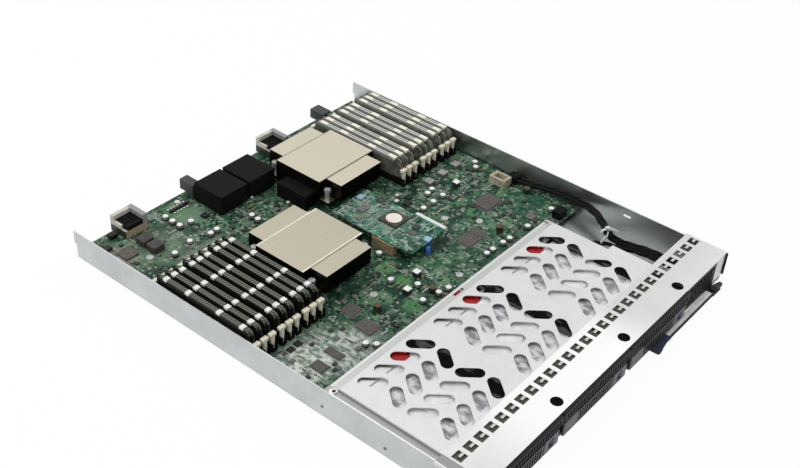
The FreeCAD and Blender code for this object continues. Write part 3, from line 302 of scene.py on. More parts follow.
lines, given, out = effect(
    "lines",
    [("Along", VECTOR, (1, 0, 0)), ("Pitch", FLOAT, 0.003), ("Share", FLOAT, 0.5), ("Shift", FLOAT, 0.0)],
    [("Mask", FLOAT)])
reach = vectors(lines, "DOT_PRODUCT", here(lines), given["Along"])["Value"]
turns = count(lines, "DIVIDE", count(lines, "SUBTRACT", reach, given["Shift"]), given["Pitch"])
feed(lines, out["Mask"], count(lines, "LESS_THAN", count(lines, "FRACT", turns), given["Share"]))
print("effects:", ", ".join(group.name for group in bpy.data.node_groups))

# %% Cells, zones and the upward side
cells, given, out = effect(
    "cells", [("Size", VECTOR, (0.0015, 0.001, 1.0)), ("Share", FLOAT, 0.3), ("Seed", FLOAT, 0.0)],
    [("Mask", FLOAT), ("Value", FLOAT)])
chance = cells.nodes.new("ShaderNodeTexWhiteNoise")
chance.noise_dimensions = "4D"
feed(cells, chance.inputs["Vector"], vectors(cells, "SNAP", here(cells), given["Size"])["Vector"])
feed(cells, chance.inputs["W"], given["Seed"])
feed(cells, out["Mask"], count(cells, "LESS_THAN", chance.outputs["Value"], given["Share"]))
feed(cells, out["Value"], count(cells, "DIVIDE", chance.outputs["Value"], given["Share"]))

zone, given, out = effect(
    "zone",
    [("Centre", VECTOR, (0, 0, 0)), ("Reach", VECTOR, (0.05, 0.05, 1)), ("Edge", FLOAT, 0.3)],
    [("Mask", FLOAT)])
away = vectors(zone, "SUBTRACT", here(zone), given["Centre"])["Vector"]
gap = vectors(zone, "LENGTH", vectors(zone, "DIVIDE", away, given["Reach"])["Vector"])["Value"]
outside = ramp(zone, gap, count(zone, "SUBTRACT", 1.0, given["Edge"]), 1.0)
feed(zone, out["Mask"], count(zone, "SUBTRACT", 1.0, outside))

upward, given, out = effect("upward", [("Level", FLOAT, 0.6)], [("Mask", FLOAT)])
feed(upward, out["Mask"], count(upward, "GREATER_THAN", facing(upward, "z"), given["Level"]))
print("effects:", ", ".join(group.name for group in bpy.data.node_groups))

# %% Masks by place
def place_along(axis, value):
    """A place along x, y or z in the model's frame, given in millimetres from the tray's corner."""
    return getattr(spot(value, value, value), axis)


def past(tree, axis, value):
    """A mask of what lies past a place, in millimetres."""
    return count(tree, "GREATER_THAN", along(tree, axis), place_along(axis, value))


def short_of(tree, axis, value):
    """A mask of what lies short of a place, in millimetres."""
    return count(tree, "LESS_THAN", along(tree, axis), place_along(axis, value))


def both(tree, first, second):
    """A mask of what two masks share."""
    return count(tree, "MULTIPLY", first, second)


def between(tree, axis, low, high):
    """A mask of what lies between two places, in millimetres."""
    return both(tree, past(tree, axis, low), short_of(tree, axis, high))


def fade(tree, axis, start, end):
    """A mask that grows from 0 at one place to 1 at another, in millimetres."""
    return ramp(tree, along(tree, axis), place_along(axis, start), place_along(axis, end))


def off_from(tree, axis, value):
    """The distance from a place along x, y or z, in metres."""
    return count(tree, "ABSOLUTE", count(tree, "SUBTRACT", along(tree, axis), place_along(axis, value)))


def clouded(tree, scale, dark, light, **more):
    """The mottle's colour between two tones."""
    return use(tree, mottle, Scale=scale, Dark=dark, Light=light, **more)["Color"]


print("helpers for masks are ready")

# %% [markdown]
# ## Sheet metal
# The tray, the cage and the bridge are bent from zinc-plated sheet. It mirrors the white room on top and
# the dark board on its inner walls, so it is fully metallic, with a faint cloud in its colour and gloss.
# A painted grey would look the same from every side, which the real sheet doesn't.

# %% Zinc on the tray and the cage
PAN_TOP = 1.4
PAN_SHADE = 40
WALL_FADE = (150, 60)
WALL_INSIDE = 432
CAGE_SHADE = 47


def gloss(tree, shader, share, first, second):
    """A roughness that drifts between two values."""
    drifting = add(tree, "ShaderNodeMapRange", Value=share, To_Min=first, To_Max=second)
    feed(tree, shader["Roughness"], drifting.outputs["Result"])


def zinc(name, dark, light, rough_low, rough_high):
    """Plated sheet whose colour and gloss drift a little; returns its plain colour too."""
    made, tree, shader = finish(name, metallic=1.0)
    cloud = use(tree, mottle, Scale=28.0, Dark=dark, Light=light, Spread=0.22)
    grain = clouded(tree, 900.0, (0.94, 0.94, 0.94), (1, 1, 1), Spread=0.25)
    plain = tint(tree, 1.0, cloud["Color"], grain, "MULTIPLY")
    gloss(tree, shader, cloud["Value"], rough_high, rough_low)
    return made, tree, shader, plain


def shaded(tree, shader, plain, *masks):
    """Gives a sheet its colour, with another tone in each mask: painted shade in most, a painted highlight on
    a hem.
    """
    for mask, tone in masks:
        plain = tint(tree, mask, plain, tone)
    feed(tree, shader["Base Color"], plain)


GREY_ZINC = ((0.53, 0.55, 0.55), (0.60, 0.62, 0.62), 0.30, 0.40)
tray_zinc, tree, shader, plain = zinc("tray_zinc", *GREY_ZINC)
# Painted shade: the floor is darker than the walls and near black under the bridge, and the right wall
# darkens towards the front.
on_floor = short_of(tree, "z", PAN_TOP)
under_bridge = both(tree, on_floor, short_of(tree, "y", PAN_SHADE))
front_wall_shade = both(tree, fade(tree, "y", *WALL_FADE), past(tree, "x", WALL_INSIDE))
shaded(tree, shader, plain, (on_floor, (0.37, 0.39, 0.39)), (under_bridge, (0.10, 0.098, 0.088)),
       (front_wall_shade, (0.44, 0.45, 0.45)))
side_zinc, tree, shader, plain = zinc("side_zinc", *GREY_ZINC)
shaded(tree, shader, plain, (short_of(tree, "y", CAGE_SHADE), (0.02, 0.02, 0.02)))
print("zinc on the tray and the cage")

# %% Zinc on the bridge and the cover
PUNCH_FIRST = 18.6
PUNCH_ROW = 36.0
PUNCH_PITCH = 15.34
PUNCH_RIM = 10.6
TONGUE = (-0.7, 5.6, 2.3)
RIGHT_FADE = (225, 292)
LEFT_FADE = (110, 20)
LEFT_RIM = 11.0
LEFT_HEM = 1.2
OUTER_FACE = -0.3
REAR_BAND = (164.2, 172.6)


def punched(tree, start, length, height):
    """A mask of a rectangle at each punched hole: its start from the hole's middle, its length and height."""
    row = use(tree, lines, Along=(1, 0, 0), Pitch=PUNCH_PITCH / 1000, Share=length / PUNCH_PITCH,
              Shift=place_along("x", PUNCH_FIRST + start))["Mask"]
    return both(tree, row, count(tree, "LESS_THAN", off_from(tree, "y", PUNCH_ROW), height / 2000))


bridge_zinc, tree, shader, plain = zinc("bridge_zinc", (0.80, 0.80, 0.80), (0.86, 0.86, 0.86), 0.34, 0.42)
# Painted shade: a dark band along the left edge, continuing the lid's shaded rim.
on_band = short_of(tree, "x", LEFT_RIM)
off_band = count(tree, "SUBTRACT", 1.0, on_band)
# Painted shade round each punched hole.
rim_shade = both(tree, punched(tree, -PUNCH_RIM / 2, PUNCH_RIM, PUNCH_RIM), off_band)
# Painted shade towards both ends, on the tongues and on the outer face, and a painted highlight on the hem
# line.
shaded(tree, shader, plain,
       (fade(tree, "x", *RIGHT_FADE), (0.57, 0.57, 0.57)), (fade(tree, "x", *LEFT_FADE), (0.64, 0.64, 0.645)),
       (rim_shade, (0.15, 0.145, 0.125)), (punched(tree, *TONGUE), (0.52, 0.52, 0.50)),
       (on_band, (0.28, 0.285, 0.275)), (short_of(tree, "x", LEFT_HEM), (0.70, 0.71, 0.70)),
       (short_of(tree, "x", OUTER_FACE), (0.48, 0.50, 0.50)))
cover_zinc, tree, shader, plain = zinc("cover_zinc", (0.60, 0.605, 0.60), (0.69, 0.69, 0.685), 0.34, 0.42)
# Painted shade on the lowered rear band and on the lowered left rim.
shaded(tree, shader, plain, (between(tree, "y", *REAR_BAND), (0.49, 0.50, 0.49)),
       (short_of(tree, "x", LEFT_RIM), (0.34, 0.345, 0.335)))
print("zinc on the bridge and the cover")

# %% [markdown]
# ## Plain plastic, steel and paint
# Most of the smaller parts are moulded, plated or painted in one colour. A single flat colour would look
# like a toy, so each is a slight drift between two close tones, with the gloss of its own stuff.

# %% Plain finishes
def flecked(name, dark, light, scale, roughness, metallic=0.0, specular=0.3):
    """A moulded or painted finish with a fine drift of tone."""
    made, tree, shader = finish(name, roughness, metallic, specular)
    feed(tree, shader["Base Color"], clouded(tree, scale, dark, light, Spread=0.3))
    return made


steel = flecked("screw_steel", (0.60, 0.60, 0.58), (0.76, 0.76, 0.74), 300, 0.3, metallic=1.0)
dull_steel = flecked("dull_steel", (0.34, 0.34, 0.32), (0.62, 0.62, 0.60), 300, 0.4, metallic=0.6)
rivet_grey = flecked("rivet_grey", (0.10, 0.105, 0.12), (0.20, 0.205, 0.22), 300, 0.5)
black_plastic = flecked("black_plastic", (0.0045, 0.0045, 0.0045), (0.008, 0.008, 0.0075), 300, 0.6,
                        specular=0.06)
lever_black = flecked("lever_black", (0.004, 0.004, 0.004), (0.010, 0.010, 0.0095), 200, 0.5, specular=0.15)
# The backplane sits deep under the cover; its near black is painted shade.
backplane_shade = flecked("backplane_shade", (0.002, 0.006, 0.004), (0.008, 0.016, 0.011), 140, 0.6,
                         specular=0.1)
guide_grey = flecked("guide_grey", (0.035, 0.035, 0.038), (0.06, 0.06, 0.064), 150, 0.5, specular=0.25)
catch_blue = flecked("catch_blue_grey", (0.045, 0.05, 0.07), (0.10, 0.105, 0.135), 120, 0.4)
blue_plastic = flecked("blue_plastic", (0.012, 0.016, 0.045), (0.022, 0.03, 0.08), 200, 0.4)
post_blue = flecked("post_blue", (0.02, 0.08, 0.26), (0.06, 0.17, 0.42), 250, 0.4)
post_pale = flecked("post_pale", (0.24, 0.42, 0.60), (0.44, 0.60, 0.74), 250, 0.4)
latch_ivory = flecked("latch_ivory", (0.72, 0.66, 0.49), (0.88, 0.84, 0.69), 260, 0.45)
header_tan = flecked("header_tan", (0.26, 0.22, 0.15), (0.56, 0.50, 0.39), 260, 0.5)
tan_plastic = flecked("tan_plastic", (0.22, 0.16, 0.09), (0.34, 0.26, 0.16), 160, 0.5)
ridge_white = flecked("ridge_white", (0.78, 0.81, 0.79), (0.86, 0.88, 0.86), 200, 0.5)
white_bar = flecked("white_bar", (0.66, 0.70, 0.66), (0.80, 0.82, 0.79), 200, 0.5)
tie_white = flecked("tie_white", (0.62, 0.64, 0.64), (0.80, 0.82, 0.82), 200, 0.35)
print("materials so far:", len(bpy.data.materials))

# %% [markdown]
# ## Finishes that change across a piece
# The lever is black at its pivot and along its edge, the clips are whiter on the left bank, and a rear
# connector is part ivory and part metal, with painted shade low on its left faces. A drive's top carries
# two bands of painted shade and reflection, and a red lead is dark behind its plug. Each could be cut into
# pieces with a colour of their own. The solids are single pieces, so masks by place change the colour
# across them instead.

# %% Lever and clips
LEVER_PIVOT = 404
LEVER_EDGE = -7.9
lever_metal, tree, shader = finish("lever_metal", roughness=0.42, metallic=0.25)
lever_tone = clouded(tree, 60.0, (0.70, 0.70, 0.69), (0.84, 0.84, 0.83))
dark_part = count(tree, "MAXIMUM", past(tree, "x", LEVER_PIVOT), short_of(tree, "y", LEVER_EDGE))
feed(tree, shader["Base Color"], tint(tree, dark_part, lever_tone, (0.012, 0.012, 0.012)))

clip_white, tree, shader = finish("clip_white", roughness=0.45, specular=0.3)
right_bank = count(tree, "GREATER_THAN", along(tree, "x"), 0.0)
white_clip = clouded(tree, 120.0, (0.76, 0.77, 0.74), (0.83, 0.84, 0.81))
ivory_clip = clouded(tree, 120.0, (0.83, 0.80, 0.66), (0.90, 0.87, 0.73))
feed(tree, shader["Base Color"], tint(tree, right_bank, white_clip, ivory_clip))
print("finishes:", lever_metal.name, clip_white.name)

# %% Rear connectors
POWER_LEFT = (48.5, 265.6)
POWER_METAL = (22.9, 30.0)
POWER_FRONT = 497
FRONT_LEDGE = 16.1
SIDE_LEDGE = 15.5
power_shell, tree, shader = finish("power_shell", roughness=0.5, specular=0.3)
metal_side = 0.0
for left in POWER_LEFT:
    plate = between(tree, "x", left + POWER_METAL[0], left + POWER_METAL[1])
    metal_side = count(tree, "MAXIMUM", metal_side, plate)
shell = clouded(tree, 120.0, (0.52, 0.49, 0.41), (0.66, 0.63, 0.55))
shell = tint(tree, metal_side, shell, (0.30, 0.30, 0.30))
low_front = both(tree, short_of(tree, "y", POWER_FRONT), short_of(tree, "z", FRONT_LEDGE))
shell = tint(tree, low_front, shell, (0.40, 0.34, 0.21))
# Painted shade: the lower part of each left face is near black.
left_face = count(tree, "LESS_THAN", facing(tree, "x"), -0.5)
low_side_shade = both(tree, left_face, short_of(tree, "z", SIDE_LEDGE))
feed(tree, shader["Base Color"], tint(tree, low_side_shade, shell, (0.030, 0.036, 0.030)))
print("finish:", power_shell.name)

# %% Drives, sleds and leads
DRIVE_BANDS = (66.0, 123.5)
BAND_EDGE = (0.0125, 0.0085)
SLED_HOOD = (24, 48)
PLUG_REAR = 177
drive_silver, tree, shader = finish("drive_silver", roughness=0.45, metallic=0.2)
drive_top = clouded(tree, 75.0, (0.66, 0.665, 0.67), (0.82, 0.825, 0.83))
# Painted shade and reflection: two bands of dark, streaky mottle across the top.
band_shade = clouded(tree, 150.0, (0.20, 0.20, 0.21), (0.66, 0.665, 0.68), Stretch=(1.0, 0.6, 1.0), Spread=0.15)
for middle in DRIVE_BANDS:
    drive_top = tint(tree, ramp(tree, off_from(tree, "y", middle), *BAND_EDGE), drive_top, band_shade)
feed(tree, shader["Base Color"], drive_top)

sled_black, tree, shader = finish("sled_black", roughness=0.5, specular=0.02)
glint = use(tree, mottle, Scale=120.0, Stretch=(1.0, 0.35, 1.0), Spread=0.14)["Value"]
sled = tint(tree, ramp(tree, glint, 0.62, 1.0), (0.0025, 0.0025, 0.0025), (0.060, 0.060, 0.058))
feed(tree, shader["Base Color"], tint(tree, between(tree, "y", *SLED_HOOD), sled, (0.11, 0.105, 0.085)))

red_lead, tree, shader = finish("red_lead", roughness=0.4, specular=0.3)
lead_red = clouded(tree, 150.0, (0.26, 0.004, 0.006), (0.42, 0.010, 0.012))
feed(tree, shader["Base Color"], tint(tree, past(tree, "y", PLUG_REAR), lead_red, (0.01, 0.01, 0.01)))
print("finishes:", drive_silver.name, sled_black.name, red_lead.name)

# %% [markdown]
# ## Heat sinks and the card's chip
# A heat sink has a warm, brushed cover plate over fins painted near black, the shade between them, and the
# chip on the card carries a round cream cap. The upward effect tells a sink's plate from its fins, and a
# sharp zone draws the cap, so that neither needs a second piece.

# %% Heat sinks
def sink_finish(name, top_dark, top_light):
    """Warm brushed plate on top, and the fins at the sides painted near black, the shade between them."""
    made, tree, shader = finish(name, metallic=1.0)
    brushed = use(tree, mottle, Scale=900.0, Stretch=(0.05, 1.0, 1.0), Dark=top_dark, Light=top_light,
                  Spread=0.3)
    fin_shade = clouded(tree, 500.0, (0.008, 0.006, 0.005), (0.044, 0.036, 0.030), Stretch=(1, 1, 0.05))
    feed(tree, shader["Base Color"], tint(tree, use(tree, upward, Level=0.6)["Mask"], fin_shade, brushed["Color"]))
    gloss(tree, shader, brushed["Value"], 0.46, 0.36)
    return made


sink_left = sink_finish("sink_left", (0.43, 0.40, 0.312), (0.48, 0.45, 0.356))
sink_right = sink_finish("sink_right", (0.545, 0.505, 0.403), (0.59, 0.55, 0.446))
print("finishes:", sink_left.name, sink_right.name)

# %% Card chip
CHIP_CAP = (256.1, 302.4, 22)
CAP_RADIUS = 0.0092
CAP_LEVEL = 22.2
card_chip, tree, shader = finish("card_chip", roughness=0.4, specular=0.3)
chip_brown = clouded(tree, 300.0, (0.028, 0.022, 0.016), (0.060, 0.050, 0.038))
cap_cream = clouded(tree, 160.0, (0.78, 0.73, 0.62), (0.88, 0.85, 0.76))
cap_round = use(tree, zone, Centre=spot(*CHIP_CAP), Reach=(CAP_RADIUS, CAP_RADIUS, 1.0), Edge=0.06)["Mask"]
on_cap = both(tree, past(tree, "z", CAP_LEVEL), cap_round)
feed(tree, shader["Base Color"], tint(tree, on_cap, chip_brown, cap_cream))
print("finish:", card_chip.name)

# %% [markdown]
# ## Fronts
# The carriers' fronts are dark mesh, and their handles have slanted louvres beside a plain end. Thousands
# of holes would weigh the mesh down and show only as a tone at this distance, so crossed lines paint them.

# %% Mesh fronts and handles
CARRIER_PITCH = 117.05
HANDLE_LEFT = 6.4
HANDLE_END = 22.0
BAR_SHARE = 0.45


def mesh_front(name, dark, light, pitch):
    """A dark front with rows of fine holes."""
    made, tree, shader = finish(name, 0.5, 0.0, 0.12)
    across = use(tree, lines, Along=(1, 0, 0), Pitch=pitch, Share=BAR_SHARE)["Mask"]
    level = use(tree, lines, Along=(0, 1, 1), Pitch=pitch, Share=BAR_SHARE)["Mask"]
    feed(tree, shader["Base Color"], tint(tree, count(tree, "MAXIMUM", across, level), dark, light))
    return made


dark_mesh = mesh_front("dark_mesh", (0.002, 0.002, 0.002), (0.016, 0.015, 0.014), 0.0016)
vent_mesh = mesh_front("vent_mesh", (0.006, 0.005, 0.005), (0.030, 0.027, 0.025), 0.0022)
handle_grey, tree, shader = finish("handle_grey", roughness=0.45, specular=0.25)
end_plate = clouded(tree, 90.0, (0.075, 0.070, 0.064), (0.125, 0.118, 0.108))
louvre_rows = use(tree, lines, Along=(1, 0, 0.6), Pitch=0.0021, Share=0.5)["Mask"]
louvres = tint(tree, louvre_rows, (0.004, 0.004, 0.004), (0.050, 0.047, 0.043))
at_end = use(tree, lines, Along=(1, 0, 0), Pitch=CARRIER_PITCH / 1000, Share=HANDLE_END / CARRIER_PITCH,
             Shift=place_along("x", HANDLE_LEFT))["Mask"]
feed(tree, shader["Base Color"], tint(tree, at_end, louvres, end_plate))
print("finishes:", dark_mesh.name, vent_mesh.name, handle_grey.name)

# %% [markdown]
# ## Boards
# A board's colour comes from its copper under green lacquer and from its bare pads. Painting each trace by
# hand would take thousands of lines, so stripes stand for traces, and a grid of cells, some of them lit by
# chance, stands for pads and holes. Soft patches then follow the lighter and darker regions.

# %% Board finishes
BOARD_TOP = 6.8
CARD_TOP = 20.0


def board_finish(name, dark, light, bright, grey):
    """Green lacquer: drifts of tone, traces, blotches where parts crowd, and pads; returns the colour too."""
    made, tree, shader = finish(name, roughness=0.5, specular=0.15)
    base = clouded(tree, 34.0, dark, light, Spread=0.16)
    traces = use(tree, lines, Along=(0.7, 0.7, 0), Pitch=0.0023, Share=0.4)["Mask"]
    where = use(tree, mottle, Scale=60.0, Spread=0.05)["Value"]
    base = tint(tree, count(tree, "MULTIPLY", both(tree, traces, where), 0.5), base, light)
    blotches = ((70.0, 0.50, 0.66, bright), (130.0, 0.56, 0.63, grey), (85.0, 0.47, 0.36, dark))
    for scale, low, high, colour in blotches:
        noise = add(tree, "ShaderNodeTexNoise", Vector=here(tree), Scale=scale, Detail=3.0)
        share = count(tree, "MULTIPLY", ramp(tree, noise.outputs["Fac"], low, high), 0.75)
        base = tint(tree, share, base, colour)
    tiles = use(tree, cells, Size=(0.0083, 0.0067, 1.0), Share=0.30, Seed=9.0)
    tile_tone = tint(tree, tiles["Value"], bright, grey)
    base = tint(tree, count(tree, "MULTIPLY", tiles["Mask"], 0.35), base, tile_tone)
    pads = use(tree, cells, Size=(0.0021, 0.0029, 1.0), Share=0.035, Seed=1.0)
    base = tint(tree, pads["Mask"], base, tint(tree, pads["Value"], grey, (0.40, 0.45, 0.38)))
    holes = use(tree, cells, Size=(0.0031, 0.0024, 1.0), Share=0.11, Seed=4.0)
    base = tint(tree, holes["Mask"], base, (0.003, 0.013, 0.009))
    return made, tree, shader, base


def soft_patch(tree, base, centre, reach, strength, colour, edge=0.7):
    """Lays a soft patch of another colour over a board's colour."""
    mask = use(tree, zone, Centre=spot(*centre), Reach=(*reach, 1.0), Edge=edge)["Mask"]
    return tint(tree, count(tree, "MULTIPLY", mask, strength), base, colour)


print("helpers for boards are ready")

# %% Main board
# Each patch has its middle in millimetres, its reach in metres, its strength and its colour.
BOARD_PATCHES = [
    ((124, 481), (0.030, 0.024), 0.70, (0.20, 0.29, 0.20)),
    ((200, 264), (0.020, 0.013), 0.80, (0.10, 0.24, 0.085)),
    ((195, 239), (0.013, 0.014), 0.85, (0.08, 0.24, 0.075)),
    ((170, 206), (0.017, 0.014), 0.80, (0.06, 0.20, 0.07)),
    ((118, 497), (0.020, 0.022), 0.70, (0.10, 0.23, 0.085)),
    ((60, 462), (0.060, 0.045), 0.45, (0.17, 0.21, 0.16)),
    ((92, 425), (0.050, 0.016), 0.50, (0.24, 0.27, 0.22)),
    ((22, 480), (0.024, 0.034), 0.60, (0.27, 0.26, 0.21)),
    ((400, 222), (0.040, 0.022), 0.60, (0.010, 0.075, 0.045)),
    # The next two patches are painted shadow under the raised card's left and front edges.
    ((225, 285), (0.016, 0.040), 0.75, (0.006, 0.022, 0.014)),
    ((266, 248), (0.030, 0.010), 0.75, (0.005, 0.018, 0.014)),
    ((130, 266), (0.075, 0.010), 0.60, (0.010, 0.035, 0.023)),
]
# A pale field is a patch of small bright tiles, so it has no colour of its own.
PALE_FIELDS = [
    ((30, 228), (0.042, 0.038), 0.95),
    ((72, 214), (0.052, 0.040), 0.70),
    ((60, 250), (0.030, 0.016), 0.35),
]
board_green, tree, shader, base = board_finish(
    "board_green", (0.005, 0.034, 0.020), (0.034, 0.108, 0.058), (0.105, 0.225, 0.110), (0.27, 0.31, 0.25))
for centre, reach, strength, colour in BOARD_PATCHES:
    base = soft_patch(tree, base, (*centre, BOARD_TOP), reach, strength, colour)
bright_tiles = clouded(tree, 190.0, (0.15, 0.21, 0.16), (0.70, 0.73, 0.68), Stretch=(1.0, 0.7, 1.0),
                       Spread=0.11)
for centre, reach, strength in PALE_FIELDS:
    base = soft_patch(tree, base, (*centre, BOARD_TOP), reach, strength, bright_tiles, edge=0.6)
feed(tree, shader["Base Color"], base)
print("board with", len(BOARD_PATCHES), "patches and", len(PALE_FIELDS), "pale fields")

# %% Raised card
card_green, tree, shader, base = board_finish(
    "card_green", (0.008, 0.058, 0.040), (0.048, 0.185, 0.115), (0.14, 0.32, 0.21), (0.36, 0.44, 0.35))
base = soft_patch(tree, base, (250, 312, CARD_TOP), (0.036, 0.062), 0.30, (0.25, 0.38, 0.29))
base = soft_patch(tree, base, (242, 339, CARD_TOP), (0.013, 0.020), 0.6, (0.040, 0.085, 0.055))
feed(tree, shader["Base Color"], base)
print("finish:", card_green.name)

# %% [markdown]
# ## Paint the CAD pieces
# A piece whose solid is already right only needs its finish. Setting each by itself would take a line or two
# per piece, so a small table says which pieces each finish goes on.

# %% Paint the pieces that keep their solid
BAYS = (1, 2, 3)
PAINT = {
    tray_zinc: ["tray"],
    side_zinc: ["cage_dividers", "cage_side"],
    bridge_zinc: ["front_bridge"],
    cover_zinc: ["cage_cover"],
    board_green: ["mainboard"],
    backplane_shade: ["drive_backplane"],
    card_green: ["mezzanine_card"],
    red_lead: ["sata_leads"],
    sled_black: [f"carrier_frame_{bay}" for bay in BAYS],
    drive_silver: [f"hard_drive_{bay}" for bay in BAYS],
    dark_mesh: [f"carrier_bezel_{bay}" for bay in BAYS],
    handle_grey: [f"carrier_handle_{bay}" for bay in BAYS],
    catch_blue: [f"carrier_latch_{bay}" for bay in BAYS],
    vent_mesh: ["vent_panel"],
    lever_metal: ["ejector_lever"],
    lever_black: ["lever_pin", "lever_bracket"],
    steel: ["standoffs", "screws", "processors"],
    dull_steel: ["sink_screws"],
    blue_plastic: ["lever_grip"],
    black_plastic: ["cpu_sockets", "memory_sockets", "signal_connectors", "power_inserts", "cable_plugs",
                    "signal_cables", "drive_cable"],
    sink_left: ["heat_sink_left"],
    sink_right: ["heat_sink_right"],
    header_tan: ["cream_header"],
    power_shell: ["power_connectors"],
    guide_grey: ["guide_block_left", "guide_block_right"],
    white_bar: ["bar_connector"],
    clip_white: ["memory_clips"],
    tan_plastic: ["mezzanine_connector"],
    post_blue: ["mezzanine_posts"],
    card_chip: ["mezzanine_chip"],
    tie_white: ["cable_tie"],
}
for material, names in PAINT.items():
    for name in names:
        nodes[name].data.materials.clear()
        nodes[name].data.materials.append(material)
print("painted", sum(len(names) for names in PAINT.values()), "solids of", len(nodes))

# %% [markdown]
# ## Helpers for new pieces
# Each detailed piece starts as boxes or discs in a bmesh, placed in millimetres from the tray's corner.
# Where it stands for a solid, it takes its place from that node, read as one box for each separate solid.

# %% Boxes, drums and bevels
def block(bm, low, high):
    """A box between two corners in millimetres; returns its vertices."""
    a = spot(*low)
    b = spot(*high)
    place = Matrix.Translation((a + b) / 2) @ Matrix.Diagonal((*(b - a), 1))
    return bmesh.ops.create_cube(bm, size=1.0, matrix=place)["verts"]


def inset(low, high, x, y, bottom, top):
    """A box's two corners drawn in along x and y, between two levels of their own."""
    return (low[0] + x, low[1] + y, bottom), (high[0] - x, high[1] - y, top)


def disc(bm, centre, radius, height, sides=20, top=None):
    """An upright drum, or a cone frustum, from its foot's centre in millimetres; returns its vertices."""
    place = Matrix.Translation(spot(centre[0], centre[1], centre[2] + height / 2))
    return bmesh.ops.create_cone(bm, cap_ends=True, segments=sides, radius1=radius / 1000,
                                 radius2=(top or radius) / 1000, depth=height / 1000, matrix=place)["verts"]


def soften(bm, verts, width, segments=1, chosen=None):
    """Bevels the edges between these vertices, or those that a test picks out."""
    inside = set(verts)
    edges = {e for v in verts for e in v.link_edges if e.other_vert(v) in inside}
    picked = [e for e in edges if chosen is None or chosen(e)]
    bmesh.ops.bevel(bm, geom=picked, offset=width / 1000, offset_type="OFFSET", affect="EDGES",
                    segments=segments, profile=0.5, material=-1)


def rim_at(level):
    """A test for the edges that lie at a level, in millimetres."""
    return lambda edge: min(vert.co.z for vert in edge.verts) > level / 1000 - 1e-5


print("helpers for shapes are ready")

# %% Pieces and their places
def settle(bm, name, material, slot, body="node", stands_for=(), smooth=None):
    """Makes a bmesh a piece of the object: painted, riding on its body, in place of some solids."""
    mesh = bpy.data.meshes.new(name)
    bm.to_mesh(mesh)
    bm.free()
    mesh.materials.append(material)
    if smooth:
        mesh.shade_smooth()
        mesh.set_sharp_from_angle(angle=math.radians(smooth))
    obj = bpy.data.objects.new(name, mesh)
    scene.collection.objects.link(obj)
    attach(obj, body)
    if stands_for:
        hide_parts(*stands_for)
    return obj


def bevelled(name, boxes, edge, material, slot, segments=1, **more):
    """Bevelled boxes, each between two corners, as one piece."""
    bm = bmesh.new()
    for low, high in boxes:
        soften(bm, block(bm, low, high), edge, segments)
    settle(bm, name, material, slot, **more)


def solids_of(name):
    """The boxes of a node's separate solids, lowest and highest corner in millimetres."""
    bm = bmesh.new()
    bm.from_mesh(nodes[name].data)
    bmesh.ops.remove_doubles(bm, verts=bm.verts, dist=1e-6)
    corner = spot(0, 0, 0)
    waiting = set(bm.verts)
    boxes = []
    while waiting:
        group = [waiting.pop()]
        for vert in group:
            near = [e.other_vert(vert) for e in vert.link_edges]
            fresh = [v for v in near if v in waiting]
            waiting.difference_update(fresh)
            group.extend(fresh)
        spots = [(v.co - corner) * 1000 for v in group]
        boxes.append((tuple(min(p[k] for p in spots) for k in range(3)),
                      tuple(max(p[k] for p in spots) for k in range(3))))
    bm.free()
    return sorted(boxes)


def centre_of(low, high):
    """The middle of a box, seen from above."""
    return (low[0] + high[0]) / 2, (low[1] + high[1]) / 2


print("solids in board_chips:", len(solids_of("board_chips")))

# %% [markdown]
# ## Cables
# Two signal cables and a drive cable lie in the channel beside the cage. Each is a bundle of black wires in
# a slow twist. A plain tube would look like a hose, so three strands wind round a smooth line, and the
# cable's route gives that line its control points.

# %% Cable routes
SIGNAL_ROUTE = [(427, 255, 12), (427, 243, 12), (430, 212, 17), (430.6, 182, 18), (428, 158, 18),
                (419.5, 140.5, 17.5), (400.5, 116.5, 14), (402, 100, 12.5), (409, 80, 12), (411, 58, 12),
                (411, 10.5, 12)]
DRIVE_ROUTE = [(364, 128, 14), (378, 128, 14), (390, 112, 13), (393.2, 98, 12.5), (400.2, 80, 12),
               (402.2, 58, 12), (402.2, 10.5, 12)]
CABLE_SPREAD = 3.1
CABLE_RADIUS = 2.4
STRANDS = 3
TWIST = 46.0
print("routes with", len(SIGNAL_ROUTE), "and", len(DRIVE_ROUTE), "points")

# %% Curves and strands
def curve_mesh(places, kind, depth=0.0, flat=0.0):
    """The mesh of one spline through or near some places in metres: bare, round or flat."""
    curve = bpy.data.curves.new("line", "CURVE")
    curve.dimensions = "3D"
    curve.resolution_u = 8
    curve.bevel_depth = depth
    curve.bevel_resolution = 1
    curve.extrude = flat
    curve.use_fill_caps = depth > 0
    spline = curve.splines.new(kind)
    spline.points.add(len(places) - 1)
    for point, place in zip(spline.points, places):
        point.co = (*place, 1)
    if kind == "NURBS":
        spline.order_u = 3
        spline.use_endpoint_u = True
    holder = bpy.data.objects.new("line", curve)
    mesh = bpy.data.meshes.new_from_object(holder)
    bpy.data.objects.remove(holder)
    bpy.data.curves.remove(curve)
    return mesh


def strand_places(line, phase):
    """Places along one strand that winds round a line."""
    places = []
    gone = 0.0
    for k, point in enumerate(line):
        before = line[max(k - 1, 0)]
        after = line[min(k + 1, len(line) - 1)]
        gone += (point - before).length
        ahead = (after - before).normalized()
        beside = ahead.cross(Vector((0, 0, 1))).normalized()
        angle = phase + gone * 1000 / TWIST * math.tau
        outward = beside * math.cos(angle) + beside.cross(ahead) * math.sin(angle)
        places.append(point + outward * CABLE_RADIUS / 2000)
    return places


print("helpers for cords are ready")

